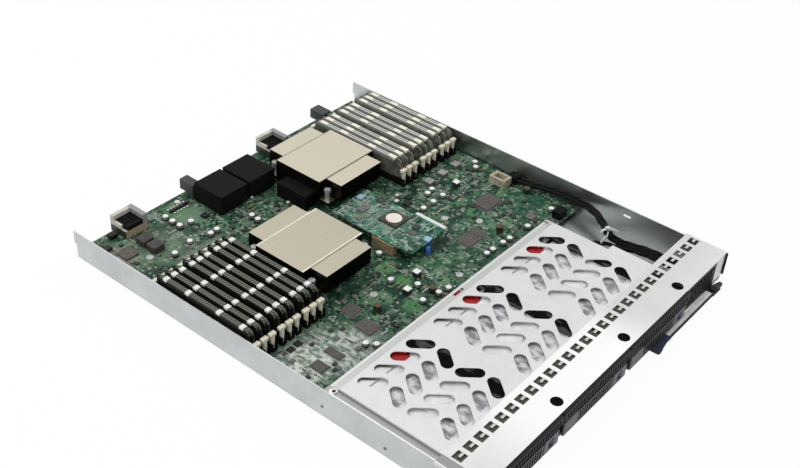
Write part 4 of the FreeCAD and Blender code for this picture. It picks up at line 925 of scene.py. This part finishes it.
# %% Cables
cable_black = flecked("cable_black", (0.002, 0.002, 0.002), (0.007, 0.007, 0.007), 240, 0.42, specular=0.09)
CABLES = {
    "signal_cable_left": ([(x - CABLE_SPREAD, y, z) for x, y, z in SIGNAL_ROUTE], 0.2541, "signal_cables"),
    "signal_cable_right": ([(x + CABLE_SPREAD, y, z) for x, y, z in SIGNAL_ROUTE], 0.2541, "signal_cables"),
    "drive_cable_strands": (DRIVE_ROUTE, 0.1360, "drive_cable"),
}
for name, (route, length, solid) in CABLES.items():
    bare = curve_mesh([spot(*place) for place in route], "NURBS")
    line = [vert.co.copy() for vert in bare.vertices]
    bundle = bmesh.new()
    for k in range(STRANDS):
        strand = strand_places(line, k * math.tau / STRANDS)
        bundle.from_mesh(curve_mesh(strand, "POLY", depth=CABLE_RADIUS / 2000))
    cable = settle(bundle, name, cable_black, "cable_black", stands_for=[solid], smooth=60)
    print(name, round(sum((b - a).length for a, b in zip(line, line[1:])), 4), "m")

# %% [markdown]
# ## Tie
# A pale tie holds the cables together, and its two ends stick out in short curves. Boxes would look stiff,
# so each tail is a flat strip drawn along a curve.

# %% Tie
TIE_TAILS = [
    [(403.5, 121.5, 21.0), (404.5, 117.5, 22.0), (405.3, 114.0, 21.8), (406.0, 111.0, 20.4)],
    [(399.5, 119.0, 19.0), (394.0, 116.0, 19.6), (387.5, 116.0, 18.6), (382.0, 117.0, 16.0)],
]
TIE_DEPTH = 0.0006
TIE_FLAT = 0.0014
tails = bmesh.new()
for places in TIE_TAILS:
    tails.from_mesh(curve_mesh([spot(*place) for place in places], "NURBS", depth=TIE_DEPTH, flat=TIE_FLAT))
settle(tails, "tie_tails", tie_white, "ivory_plastic", smooth=40)
print("tie with", len(TIE_TAILS), "tails")

# %% [markdown]
# ## Lever, ear and lid
# The lever's outer edge is turned up and black, the right ear ends in a dark strip, and the lid is hemmed
# along the left wall and widens beside the cables. These are narrow folds, so bevelled strips laid on the
# solids give them. A screw's recess and two rivets are low drums with softened or tapered edges.

# %% Folds at the edges
LEVER_LIP = ((313.0, -9.9, 0.1), (408.0, -8.3, 1.9))
EAR_STRIP = ((439.4, -1.8, 4.0), (441.4, 1.0, 31.0))
LID_HEM = ((1.4, 48.2, 30.6), (2.5, 166.0, 31.6))
LID_FLANGE = ((363.4, 48.6, 26.1), (373.5, 99.0, 26.9))
WASHER_FOOT = (5.7, 167.1, 29.9)
WASHER_RADIUS = 3.9
WASHER_HEIGHT = 1.2
# The hem's zinc is brighter than the lid's, a painted highlight along the top of the left wall; the washer
# shares it.
bright_hem = flecked("bright_hem", (0.66, 0.66, 0.65), (0.78, 0.78, 0.77), 40, 0.4, metallic=1.0)
bevelled("lever_lip", [LEVER_LIP], 0.3, lever_black, "lever_metal", segments=2, body="lever")
bevelled("ear_strip", [EAR_STRIP], 0.4, lever_black, "black_plastic", segments=2)
hem = bmesh.new()
soften(hem, block(hem, *LID_HEM), 0.3, 2)
soften(hem, disc(hem, WASHER_FOOT, WASHER_RADIUS, WASHER_HEIGHT), 0.3)
settle(hem, "lid_hem", bright_hem, "zinc_sheet")
bevelled("lid_flange", [LID_FLANGE], 0.25, cover_zinc, "zinc_sheet", segments=2)
print("folds on lever, ear and lid")

# %% Screw recess and rivets
RECESS_FOOT = (5.9, 166.0, 31.65)
RECESS_RADIUS = 1.8
RECESS_HEIGHT = 0.3
WALL_RIVETS = ((174.4, 11.6), (100.8, 9.8))
RIVET_OUTSET = -0.2
RIVET_FOOT = 0.0019
RIVET_TOP = 0.0014
RIVET_HEIGHT = 0.0006
# The recess is a thin black drum on the screw's head, painted shade for its hollow.
recess = bmesh.new()
soften(recess, disc(recess, RECESS_FOOT, RECESS_RADIUS, RECESS_HEIGHT, 6), 0.08)
settle(recess, "lid_screw_recess", lever_black, "bright_steel")
rivets = bmesh.new()
for y, z in WALL_RIVETS:
    outward = Matrix.Translation(spot(RIVET_OUTSET, y, z)) @ Matrix.Rotation(-math.pi / 2, 4, "Y")
    bmesh.ops.create_cone(rivets, cap_ends=True, segments=12, radius1=RIVET_FOOT, radius2=RIVET_TOP,
                          depth=RIVET_HEIGHT, matrix=outward)
settle(rivets, "wall_rivets", rivet_grey, "bright_steel")
print("rivets in the left wall:", len(WALL_RIVETS))

# %% [markdown]
# ## Card parts
# The raised card carries a few packages and stands on blue spacers that clip it to the board. The packages
# are low bevelled boxes laid on the card. The spacers' solids are plain posts, so each is drawn again as a
# drum with a pale clip on top. The white bar beside the card gets a narrow ridge.

# %% Card packages
CARD_PARTS = {
    "grey": ((0.13, 0.118, 0.112), (0.19, 0.176, 0.168), [((243, 335.5, CARD_TOP), (256, 345.5, 21.2))]),
    "dark": ((0.020, 0.020, 0.021), (0.060, 0.060, 0.062),
             [((270.5, 332, CARD_TOP), (279.3, 341, 21.4)), ((257.5, 273, CARD_TOP), (265.5, 280, 21.8))]),
    "brown": ((0.085, 0.070, 0.056), (0.15, 0.13, 0.11), [((247.5, 267.5, CARD_TOP), (254, 275.5, 21.0))]),
}
for tone, (dark, light, places) in CARD_PARTS.items():
    paint = flecked(f"card_{tone}", dark, light, 260, 0.5)
    bevelled(f"card_parts_{tone}", places, 0.3, paint, "package")
print("card parts:", sum(len(places) for _, _, places in CARD_PARTS.values()))

# %% Spacers and ridge
DRUM_HEIGHT = 13.2
SPACER_CLIP_HEIGHT = 2.2
SPACER_CLIP_SIDE = 0.6
SPACER_CLIP_REAR = 0.8
FRONT_DRUM = (247.0, 247.4, BOARD_TOP)
FRONT_DRUM_FOOT = 3.3
FRONT_DRUM_TOP = 2.8
FRONT_DRUM_HEIGHT = 10.0
RIDGE_END = 0.6
RIDGE_SIDE = 0.8
RIDGE_DEPTH = 2.4
RIDGE_RISE = 0.5
drums = bmesh.new()
spacer_clips = bmesh.new()
for low, high in solids_of("mezzanine_posts"):
    x, y = centre_of(low, high)
    radius = (high[0] - low[0]) / 2
    soften(drums, disc(drums, (x, y, low[2]), radius, DRUM_HEIGHT), 0.4)
    half = radius + SPACER_CLIP_SIDE
    spacer_clip = block(spacer_clips, (x - half, y - radius, high[2] - SPACER_CLIP_HEIGHT),
                        (x + half, y + radius + SPACER_CLIP_REAR, high[2]))
    soften(spacer_clips, spacer_clip, 0.8, 2)
soften(drums, disc(drums, FRONT_DRUM, FRONT_DRUM_FOOT, FRONT_DRUM_HEIGHT, top=FRONT_DRUM_TOP), 0.5)
settle(drums, "spacer_drums", post_blue, "blue_plastic", stands_for=["mezzanine_posts"], smooth=40)
settle(spacer_clips, "spacer_clips", post_pale, "blue_plastic")
low, high = solids_of("bar_connector")[0]
ridge = inset(low, high, RIDGE_END, RIDGE_SIDE, high[2] - RIDGE_DEPTH, high[2] + RIDGE_RISE)
bevelled("bar_ridge", [ridge], 0.3, ridge_white, "ivory_plastic")
print("spacers, and a ridge on the white bar")

# %% [markdown]
# ## Memory modules
# A module is a thin board between two pressed metal plates, so from above it shows two plate edges with the
# board's edge between them. A solid bar with stripes painted on it would look alike from the photograph's
# side only, so the plates and the board are made as separate sheets, with their upper corners rounded.

# %% Module finishes
SIDE_FADE = (31, 39)


def plate_finish(name, top_dark, top_light, side_dark, side_light, hatch, rise):
    """Pressed plates: pale, hatched edges on top and darker sides, painted shade between the modules that
    grows paler towards the top.
    """
    made, tree, shader = finish(name, roughness=0.45, specular=0.2)
    rows = use(tree, lines, Along=(0.35, 1, 0), Pitch=hatch, Share=0.5)["Mask"]
    edge = tint(tree, rows, top_dark, top_light)
    side = clouded(tree, 120.0, side_dark, side_light)
    # Painted shade: the sides lighten towards the top, out of the shade between the modules.
    side = tint(tree, count(tree, "MULTIPLY", fade(tree, "z", *SIDE_FADE), rise), side, top_dark)
    feed(tree, shader["Base Color"], tint(tree, use(tree, upward, Level=0.35)["Mask"], side, edge))
    return made


PLATE_FINISH = {
    "left": plate_finish("plates_dark", (0.050, 0.058, 0.043), (0.165, 0.18, 0.14), (0.004, 0.004, 0.004),
                         (0.012, 0.012, 0.010), 0.0031, 0.15),
    "right": plate_finish("plates_pale", (0.50, 0.51, 0.47), (0.60, 0.61, 0.57), (0.075, 0.071, 0.058),
                          (0.16, 0.152, 0.128), 0.0047, 0.65),
}
BOARD_FINISH = {
    "left": plate_finish("module_board", (0.045, 0.052, 0.039), (0.13, 0.145, 0.11), (0.004, 0.006, 0.004),
                         (0.012, 0.018, 0.011), 0.0031, 0.0),
    "right": plate_finish("module_board_pale", (0.17, 0.18, 0.145), (0.26, 0.27, 0.22), (0.05, 0.06, 0.045),
                          (0.26, 0.27, 0.22), 0.0047, 0.0),
}
print("module finishes:", len(PLATE_FINISH) + len(BOARD_FINISH))

# %% Module plates and boards
SIDES = ("left", "right")
PLATE_GAP = 0.75
PLATE_REACH = 2.7
PLATE_LENGTH = 127.0
PLATE_LEVEL = 15.4
PLATE_TOP = 38.4
FRONT_TRIM = {"left": 0.0, "right": 7.0}
PLATE_SLOT = {"left": "module_black", "right": "module_grey"}
BOARD_HALF = 0.7
BOARD_DROP = 0.3
PLATE_CORNER = 6.0
UPPER_LEVEL = 0.03


def upper_ends(edge):
    """The two level edges at a plate's upper ends."""
    a, b = (v.co for v in edge.verts)
    return abs(a.x - b.x) > 1e-4 and min(a.z, b.z) > UPPER_LEVEL and abs(a.y - b.y) < 1e-6


for side in SIDES:
    plates = bmesh.new()
    boards = bmesh.new()
    for low, high in solids_of(f"memory_modules_{side}"):
        x, y = centre_of(low, high)
        front = y - PLATE_LENGTH / 2 + FRONT_TRIM[side]
        rear = y + PLATE_LENGTH / 2
        for near, far in ((-PLATE_REACH, -PLATE_GAP), (PLATE_GAP, PLATE_REACH)):
            sheet = block(plates, (x + near, front, PLATE_LEVEL), (x + far, rear, PLATE_TOP))
            soften(plates, sheet, PLATE_CORNER, 4, upper_ends)
        board = block(boards, (x - BOARD_HALF, low[1], low[2]),
                      (x + BOARD_HALF, high[1], high[2] - BOARD_DROP))
        soften(boards, board, PLATE_CORNER, 3, upper_ends)
    settle(plates, f"module_plates_{side}", PLATE_FINISH[side], PLATE_SLOT[side],
           stands_for=[f"memory_modules_{side}"])
    settle(boards, f"module_boards_{side}", BOARD_FINISH[side], "module_black")

# %% [markdown]
# ## Module clips
# Pale clips hold a module's plates together, short ones on the left bank and longer, narrower ones on the
# right. A painted stripe would lie flat in the plates, so each clip is a bevelled box over them.

# %% Module clips
CLIP_INSET = {"left": (0.45, 0.45), "right": (0.75, -2.2)}
CLIP_DROP = 0.3
TRAY_MIDDLE = TRAY_WIDTH * 500
clips = []
for low, high in solids_of("memory_clips"):
    side = "left" if low[0] < TRAY_MIDDLE else "right"
    clips.append(inset(low, high, *CLIP_INSET[side], low[2], high[2] - CLIP_DROP))
bevelled("module_clips", clips, 0.5, clip_white, "ivory_plastic", segments=2, stands_for=["memory_clips"])
print("module clips:", len(clips))

# %% [markdown]
# ## Socket latches
# Each socket ends in an ivory latch shaped like a golf tee: a broad cap on a stem that narrows downwards.
# A bevelled box for the cap and a tapered one for the stem give that shape. The nine latches at one end of
# a bank tilt together, so they are one piece on that end's body.

# %% Latches
OUTWARD = {"front": -1, "rear": 1}
LATCH_CAP = 3.8
LATCH_CAP_REACH = 0.8
STEM_OUTSET = 0.4
STEM_HALF = (2.1, 1.5)
STEM_OVERLAP = 0.4
STEM_TAPER = 0.55
for side in SIDES:
    for end, outward in OUTWARD.items():
        name = f"latches_{side}_{end}"
        latches = bmesh.new()
        for low, high in solids_of(name):
            x, y = centre_of(low, high)
            y += outward * STEM_OUTSET
            cap_foot = high[2] - LATCH_CAP
            cap = block(latches, *inset(low, high, -LATCH_CAP_REACH, 0, cap_foot, high[2]))
            soften(latches, cap, 0.7, 2)
            stem = block(latches, (x - STEM_HALF[0], y - STEM_HALF[1], low[2]),
                         (x + STEM_HALF[0], y + STEM_HALF[1], cap_foot + STEM_OVERLAP))
            middle = spot(x, y, (low[2] + high[2]) / 2)
            for vert in stem:
                if vert.co.z < middle.z:
                    vert.co.x = middle.x + (vert.co.x - middle.x) * STEM_TAPER
        settle(latches, f"{name}_caps", latch_ivory, "ivory_plastic", body=name, stands_for=[name])
print("latches on four bodies")

# %% [markdown]
# ## Heat sink edges
# The cover plates of the fins are folded, and the folds catch the light as fine pale lines on the left
# sink and as thin shadows on the right one. Narrow strips laid on the folds show them from every side.

# %% Sink folds
crease_light = flecked("crease_light", (0.72, 0.68, 0.55), (0.86, 0.82, 0.69), 200, 0.4)
crease_dark = flecked("crease_dark", (0.20, 0.18, 0.14), (0.28, 0.26, 0.20), 200, 0.5)
SINK_MIDDLE = 65.5
FOLD_SINK = 0.05
FOLD_RISE = 0.18
for side, width, paint in (("left", 2.2, crease_light), ("right", 0.9, crease_dark)):
    low, high = ((Vector(corner) - spot(0, 0, 0)) * 1000 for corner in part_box(f"heat_sink_{side}"))
    middle = (low[1] + high[1]) / 2
    folds = [((low[0], front, high[2] - FOLD_SINK), (high[0], front + width, high[2] + FOLD_RISE))
             for front in (middle - SINK_MIDDLE / 2, middle + SINK_MIDDLE / 2 - width)]
    bevelled(f"sink_folds_{side}", folds, 0.12, paint, "sink_metal")
print("folds on both sinks")

# %% [markdown]
# ## Chips and coils
# The larger chips are flat packages with a row of bright pins on each side, and the coils are plain dark
# blocks. The solids are bare boxes, so each is drawn again with soft edges, and the pins are small boxes
# in rows, because they show as a bright fringe.

# %% Chips
chip_grey = flecked("chip_grey", (0.055, 0.050, 0.046), (0.105, 0.098, 0.090), 250, 0.5)
pin_metal = flecked("pin_metal", (0.36, 0.38, 0.35), (0.55, 0.56, 0.52), 500, 0.4, metallic=0.4)
coil_dark = flecked("coil_dark", (0.030, 0.027, 0.026), (0.060, 0.055, 0.053), 120, 0.5)
CHIP_SKIRT = 1.1
CHIP_LIFT = 0.3
COIL_HEIGHT = 5.0
PIN_PITCH = 1.6
PIN_HALF = 0.35
PIN_HEIGHT = 0.6
chips = solids_of("board_chips")
coils = [(low, high) for low, high in chips if high[2] - low[2] > COIL_HEIGHT]
packages = []
pins = bmesh.new()


def pin_places(start, end):
    """Where the pins stand along one side of a chip."""
    number = int((end - start - 2 * CHIP_SKIRT) / PIN_PITCH)
    return [start + CHIP_SKIRT + PIN_PITCH / 2 + k * PIN_PITCH for k in range(number)]


for low, high in chips:
    if (low, high) in coils:
        continue
    packages.append(inset(low, high, CHIP_SKIRT, CHIP_SKIRT, low[2] + CHIP_LIFT, high[2]))
    pin_top = low[2] + PIN_HEIGHT
    for x in pin_places(low[0], high[0]):
        for y in (low[1], high[1] - CHIP_SKIRT):
            block(pins, (x - PIN_HALF, y, low[2]), (x + PIN_HALF, y + CHIP_SKIRT, pin_top))
    for y in pin_places(low[1], high[1]):
        for x in (low[0], high[0] - CHIP_SKIRT):
            block(pins, (x, y - PIN_HALF, low[2]), (x + CHIP_SKIRT, y + PIN_HALF, pin_top))
bevelled("chip_packages", packages, 0.35, chip_grey, "package", stands_for=["board_chips"])
settle(pins, "chip_pins", pin_metal, "bright_steel")
bevelled("coil_blocks", coils, 0.9, coil_dark, "package", segments=2)
print("chips and coils dressed:", len(chips))

# %% [markdown]
# ## Capacitors, rings and brown cans
# The capacitors are short cans with a dark foot and a pale top, and a few larger ones are square. Flat rings
# and brown cans stand between them. Drums give the round ones their shape and boxes the square ones, and the
# upward effect parts a can's top from its darker sides.

# %% Capacitors
ROUND_LIMIT = 3.5
CAN_LID = 0.9
CAN_LID_LAP = 0.1
FOOT_INSET = 0.3
FOOT_HEIGHT = 1.6
FOOT_OVERLAP = 0.1


def can_finish(name, top_dark, top_light, side_dark, side_light):
    """A finish with a pale top and darker sides."""
    made, tree, shader = finish(name, roughness=0.5, specular=0.2)
    top = clouded(tree, 300.0, top_dark, top_light)
    side = clouded(tree, 300.0, side_dark, side_light)
    feed(tree, shader["Base Color"], tint(tree, use(tree, upward, Level=0.5)["Mask"], side, top))
    return made


def upright(edge):
    """A test for upright edges."""
    return abs(edge.verts[0].co.z - edge.verts[1].co.z) > 1e-4


can_white = can_finish("can_white", (0.80, 0.83, 0.79), (0.90, 0.92, 0.89), (0.16, 0.17, 0.15),
                       (0.34, 0.35, 0.33))
can_foot = flecked("can_foot", (0.012, 0.012, 0.012), (0.03, 0.03, 0.027), 300, 0.5)
cans = bmesh.new()
feet = bmesh.new()
for low, high in solids_of("capacitors"):
    x, y = centre_of(low, high)
    radius = (high[0] - low[0]) / 2
    if radius > ROUND_LIMIT:
        soften(cans, block(cans, (low[0], low[1], high[2] - CAN_LID), high), 0.4)
        block(feet, *inset(low, high, FOOT_INSET, FOOT_INSET, low[2], high[2] - CAN_LID + CAN_LID_LAP))
        continue
    can = disc(cans, (x, y, low[2] + FOOT_HEIGHT), radius, high[2] - low[2] - FOOT_HEIGHT)
    soften(cans, can, 0.35, 1, rim_at(high[2]))
    foot = block(feet, (x - radius, y - radius, low[2]),
                 (x + radius, y + radius, low[2] + FOOT_HEIGHT + FOOT_OVERLAP))
    soften(feet, foot, 0.8, 1, upright)
settle(cans, "capacitor_cans", can_white, "can_metal", stands_for=["capacitors"])
settle(feet, "capacitor_feet", can_foot, "black_plastic")
print("capacitors dressed:", len(solids_of("capacitors")))

# %% Rings and brown cans
ring_grey = flecked("ring_grey", (0.42, 0.44, 0.41), (0.56, 0.58, 0.55), 300, 0.5)
brown_can = can_finish("brown_can", (0.07, 0.058, 0.034), (0.11, 0.092, 0.055), (0.02, 0.017, 0.010),
                       (0.045, 0.038, 0.022))
RINGS = [(241.5, 201.1), (87.8, 440.2), (43.4, 454.1), (311.1, 274.1), (333.4, 242.5), (156.0, 245.5)]
BROWN_CANS = [(200.7, 204.9), (140.7, 227.6), (417.4, 236.9), (334.9, 216.4)]
BARREL_RADIUS = 4.0
RING_HEIGHT = 1.4
RING_WALL = 0.0019
RING_DEPTH = 0.0011
BARREL_HEIGHT = 7.0
rings = bmesh.new()
for x, y in RINGS:
    disc(rings, (x, y, BOARD_TOP), BARREL_RADIUS, RING_HEIGHT)
    top = spot(x, y, BOARD_TOP + RING_HEIGHT)
    lids = [f for f in rings.faces if f.normal.z > 0.9 and (f.calc_center_median() - top).length < 0.001]
    bmesh.ops.inset_region(rings, faces=lids, thickness=RING_WALL, depth=-RING_DEPTH)
settle(rings, "board_rings", ring_grey, "bright_steel")
barrels = bmesh.new()
for x, y in BROWN_CANS:
    barrel = disc(barrels, (x, y, BOARD_TOP), BARREL_RADIUS, BARREL_HEIGHT)
    soften(barrels, barrel, 0.5, 2, rim_at(BOARD_TOP + BARREL_HEIGHT))
settle(barrels, "brown_cans", brown_can, "package")
print("rings:", len(RINGS), "brown cans:", len(BROWN_CANS))

# %% [markdown]
# ## Parts seen one by one
# Some parts stand out in the photograph and have a place of their own: coils by the right bank, dark blocks
# at the rear edge, and rows of pale pads. They are too small for solids, so a table gives each box's two
# corners on the board and its height, and each tone is one piece.

# %% Parts seen one by one
PAD_PITCH = 4.4
REAR_PADS = [(112.0 + PAD_PITCH * k, 503.0, 114.6 + PAD_PITCH * k, 505.2, 1.3) for k in range(6)]
FRONT_PADS = [(114.0 + PAD_PITCH * k, 494.0, 116.4 + PAD_PITCH * k, 495.8, 1.2) for k in range(5)]
SEEN_PARTS = {
    "black": ((0.010, 0.010, 0.010), (0.030, 0.029, 0.027), [
        (36.5, 506.0, 45.5, 513.5, 5.0), (19.0, 492.5, 27.0, 499.5, 3.4), (348.0, 495.0, 358.0, 507.0, 4.0),
        (111.5, 497.8, 137.5, 501.2, 2.6), (129.3, 463.5, 136.5, 470.7, 3.4),
        (311.7, 326.0, 318.5, 332.8, 1.8), (46.0, 247.5, 54.0, 254.5, 1.6), (35.5, 246.8, 43.0, 253.2, 1.6),
        (300.5, 318.0, 309.0, 325.5, 2.4)]),
    "coil": ((0.20, 0.196, 0.19), (0.40, 0.392, 0.38), [
        (398.7, 324.1, 408.9, 334.1, 5.0), (373.4, 324.2, 383.6, 334.2, 5.0),
        (348.7, 324.4, 358.9, 334.4, 5.0)]),
    "stone": ((0.10, 0.094, 0.088), (0.19, 0.18, 0.17), [
        (375.0, 201.0, 386.0, 211.0, 1.8), (131.5, 466.5, 143.5, 468.8, 1.6),
        (318.0, 300.0, 327.0, 307.0, 1.6)]),
    "umber": ((0.075, 0.062, 0.052), (0.15, 0.125, 0.105), [
        (24.0, 467.0, 41.0, 485.0, 1.7), (29.0, 248.5, 33.6, 252.0, 1.4)]),
    "chalk": ((0.56, 0.58, 0.54), (0.80, 0.82, 0.78), REAR_PADS + FRONT_PADS + [
        (211.0, 416.8, 214.6, 420.4, 3.0), (190.0, 452.6, 193.8, 456.0, 3.0),
        (296.5, 331.0, 302.0, 335.5, 2.6), (306.0, 338.0, 310.5, 342.0, 2.6),
        (7.0, 250.0, 12.0, 254.0, 1.4)]),
}
# Painted shade: each part's sides are a darker copy of its top.
SIDE_SHADE = 0.4
for tone, (dark, light, places) in SEEN_PARTS.items():
    sides = [[SIDE_SHADE * channel for channel in colour] for colour in (dark, light)]
    paint = can_finish(f"seen_{tone}", dark, light, *sides)
    boxes = [((x0, y0, BOARD_TOP), (x1, y1, BOARD_TOP + tall)) for x0, y0, x1, y1, tall in places]
    bevelled(f"seen_parts_{tone}", boxes, 0.3, paint, "package")
print("parts seen one by one:", sum(len(places) for _, _, places in SEEN_PARTS.values()))

# %% [markdown]
# ## Small parts in rows
# Hundreds of tiny parts cover the rest of the board in short rows. Placing each by hand would gain nothing,
# so a seeded draw strews rows of small boxes over the free fields, and each run gives the same board. A row
# leaves out a part wherever something already stands.

# %% Kinds, fields and what is taken
SMALL = {
    "tan": ((1.7, 1.0, 0.9), (0.30, 0.22, 0.13), (0.44, 0.35, 0.23)),
    "dark": ((1.6, 0.9, 0.6), (0.010, 0.010, 0.010), (0.03, 0.03, 0.028)),
    "pale": ((2.1, 1.3, 0.9), (0.28, 0.30, 0.27), (0.50, 0.52, 0.48)),
    "block": ((4.4, 3.4, 1.7), (0.012, 0.012, 0.012), (0.04, 0.04, 0.037)),
    "grey": ((5.6, 4.6, 1.3), (0.10, 0.096, 0.090), (0.20, 0.195, 0.185)),
}
SINGLE_KINDS = ("block", "grey")
BOARD_SHARES = ["tan"] * 2 + ["dark"] * 4 + ["pale"] * 4 + ["block"] * 3 + ["grey"] * 2
CARD_SHARES = ["tan"] * 2 + ["dark"] * 2 + ["pale"] * 7 + ["grey"]
# A field is a rectangle of a board, its level and its number of rows.
FIELDS = [
    (8, 178, 110, 256, BOARD_TOP, 60),
    (110, 178, 215, 268, BOARD_TOP, 62),
    (196, 180, 222, 392, BOARD_TOP, 34),
    (282, 180, 432, 343, BOARD_TOP, 120),
    (8, 410, 145, 516, BOARD_TOP, 80),
    (145, 385, 205, 452, BOARD_TOP, 40),
    (300, 496, 432, 516, BOARD_TOP, 12),
    (223, 252, 279, 360, CARD_TOP, 90),
    (104, 384, 200, 410, BOARD_TOP, 20),
]
TAKEN_NODES = ["board_chips", "capacitors", "bar_connector", "cream_header", "power_connectors",
               "signal_connectors", "guide_block_left", "guide_block_right", "heat_sink_left",
               "heat_sink_right", "memory_sockets", "cable_plugs", "mezzanine_connector", "mezzanine_posts",
               "mezzanine_chip", "screws", "sata_leads", "latches_left_front", "latches_right_front"]
BARREL_ROOM = 4.2
taken = [(*low[:2], *high[:2]) for name in TAKEN_NODES for low, high in solids_of(name)]
taken += [(x - BARREL_ROOM, y - BARREL_ROOM, x + BARREL_ROOM, y + BARREL_ROOM) for x, y in RINGS + BROWN_CANS]
taken += [(*low[:2], *high[:2]) for _, _, places in CARD_PARTS.values() for low, high in places]
taken += [place[:4] for _, _, places in SEEN_PARTS.values() for place in places]
print("places taken:", len(taken))

# %% Small parts
SEED = 8520
ROW_GAP = 0.9
ROW_LENGTH = (2, 6)
MARGIN = 0.5
draw = random.Random(SEED)
small_parts = {kind: bmesh.new() for kind in SMALL}


def is_free(x0, y0, x1, y1):
    """Whether a rectangle of the board is still clear."""
    return all(x1 + MARGIN < a or x0 - MARGIN > c or y1 + MARGIN < b or y0 - MARGIN > d
               for a, b, c, d in taken)


placed = 0
for x0, y0, x1, y1, level, rows in FIELDS:
    for _ in range(rows):
        kind = draw.choice(CARD_SHARES if level == CARD_TOP else BOARD_SHARES)
        wide, deep, tall = SMALL[kind][0]
        if draw.random() < 0.5:
            wide, deep = deep, wide
        x = draw.uniform(x0, x1 - wide)
        y = draw.uniform(y0, y1 - deep)
        length = 1 if kind in SINGLE_KINDS else draw.randint(*ROW_LENGTH)
        step_x, step_y = (wide + ROW_GAP, 0) if draw.random() < 0.5 else (0, deep + ROW_GAP)
        for _ in range(length):
            if x + wide < x1 and y + deep < y1 and is_free(x, y, x + wide, y + deep):
                block(small_parts[kind], (x, y, level), (x + wide, y + deep, level + tall))
                taken.append((x, y, x + wide, y + deep))
                placed += 1
            x += step_x
            y += step_y
for kind, (_, dark, light) in SMALL.items():
    paint = flecked(f"part_{kind}", dark, light, 400, 0.5)
    settle(small_parts[kind], f"small_parts_{kind}", paint, "package")
print("small parts:", placed)
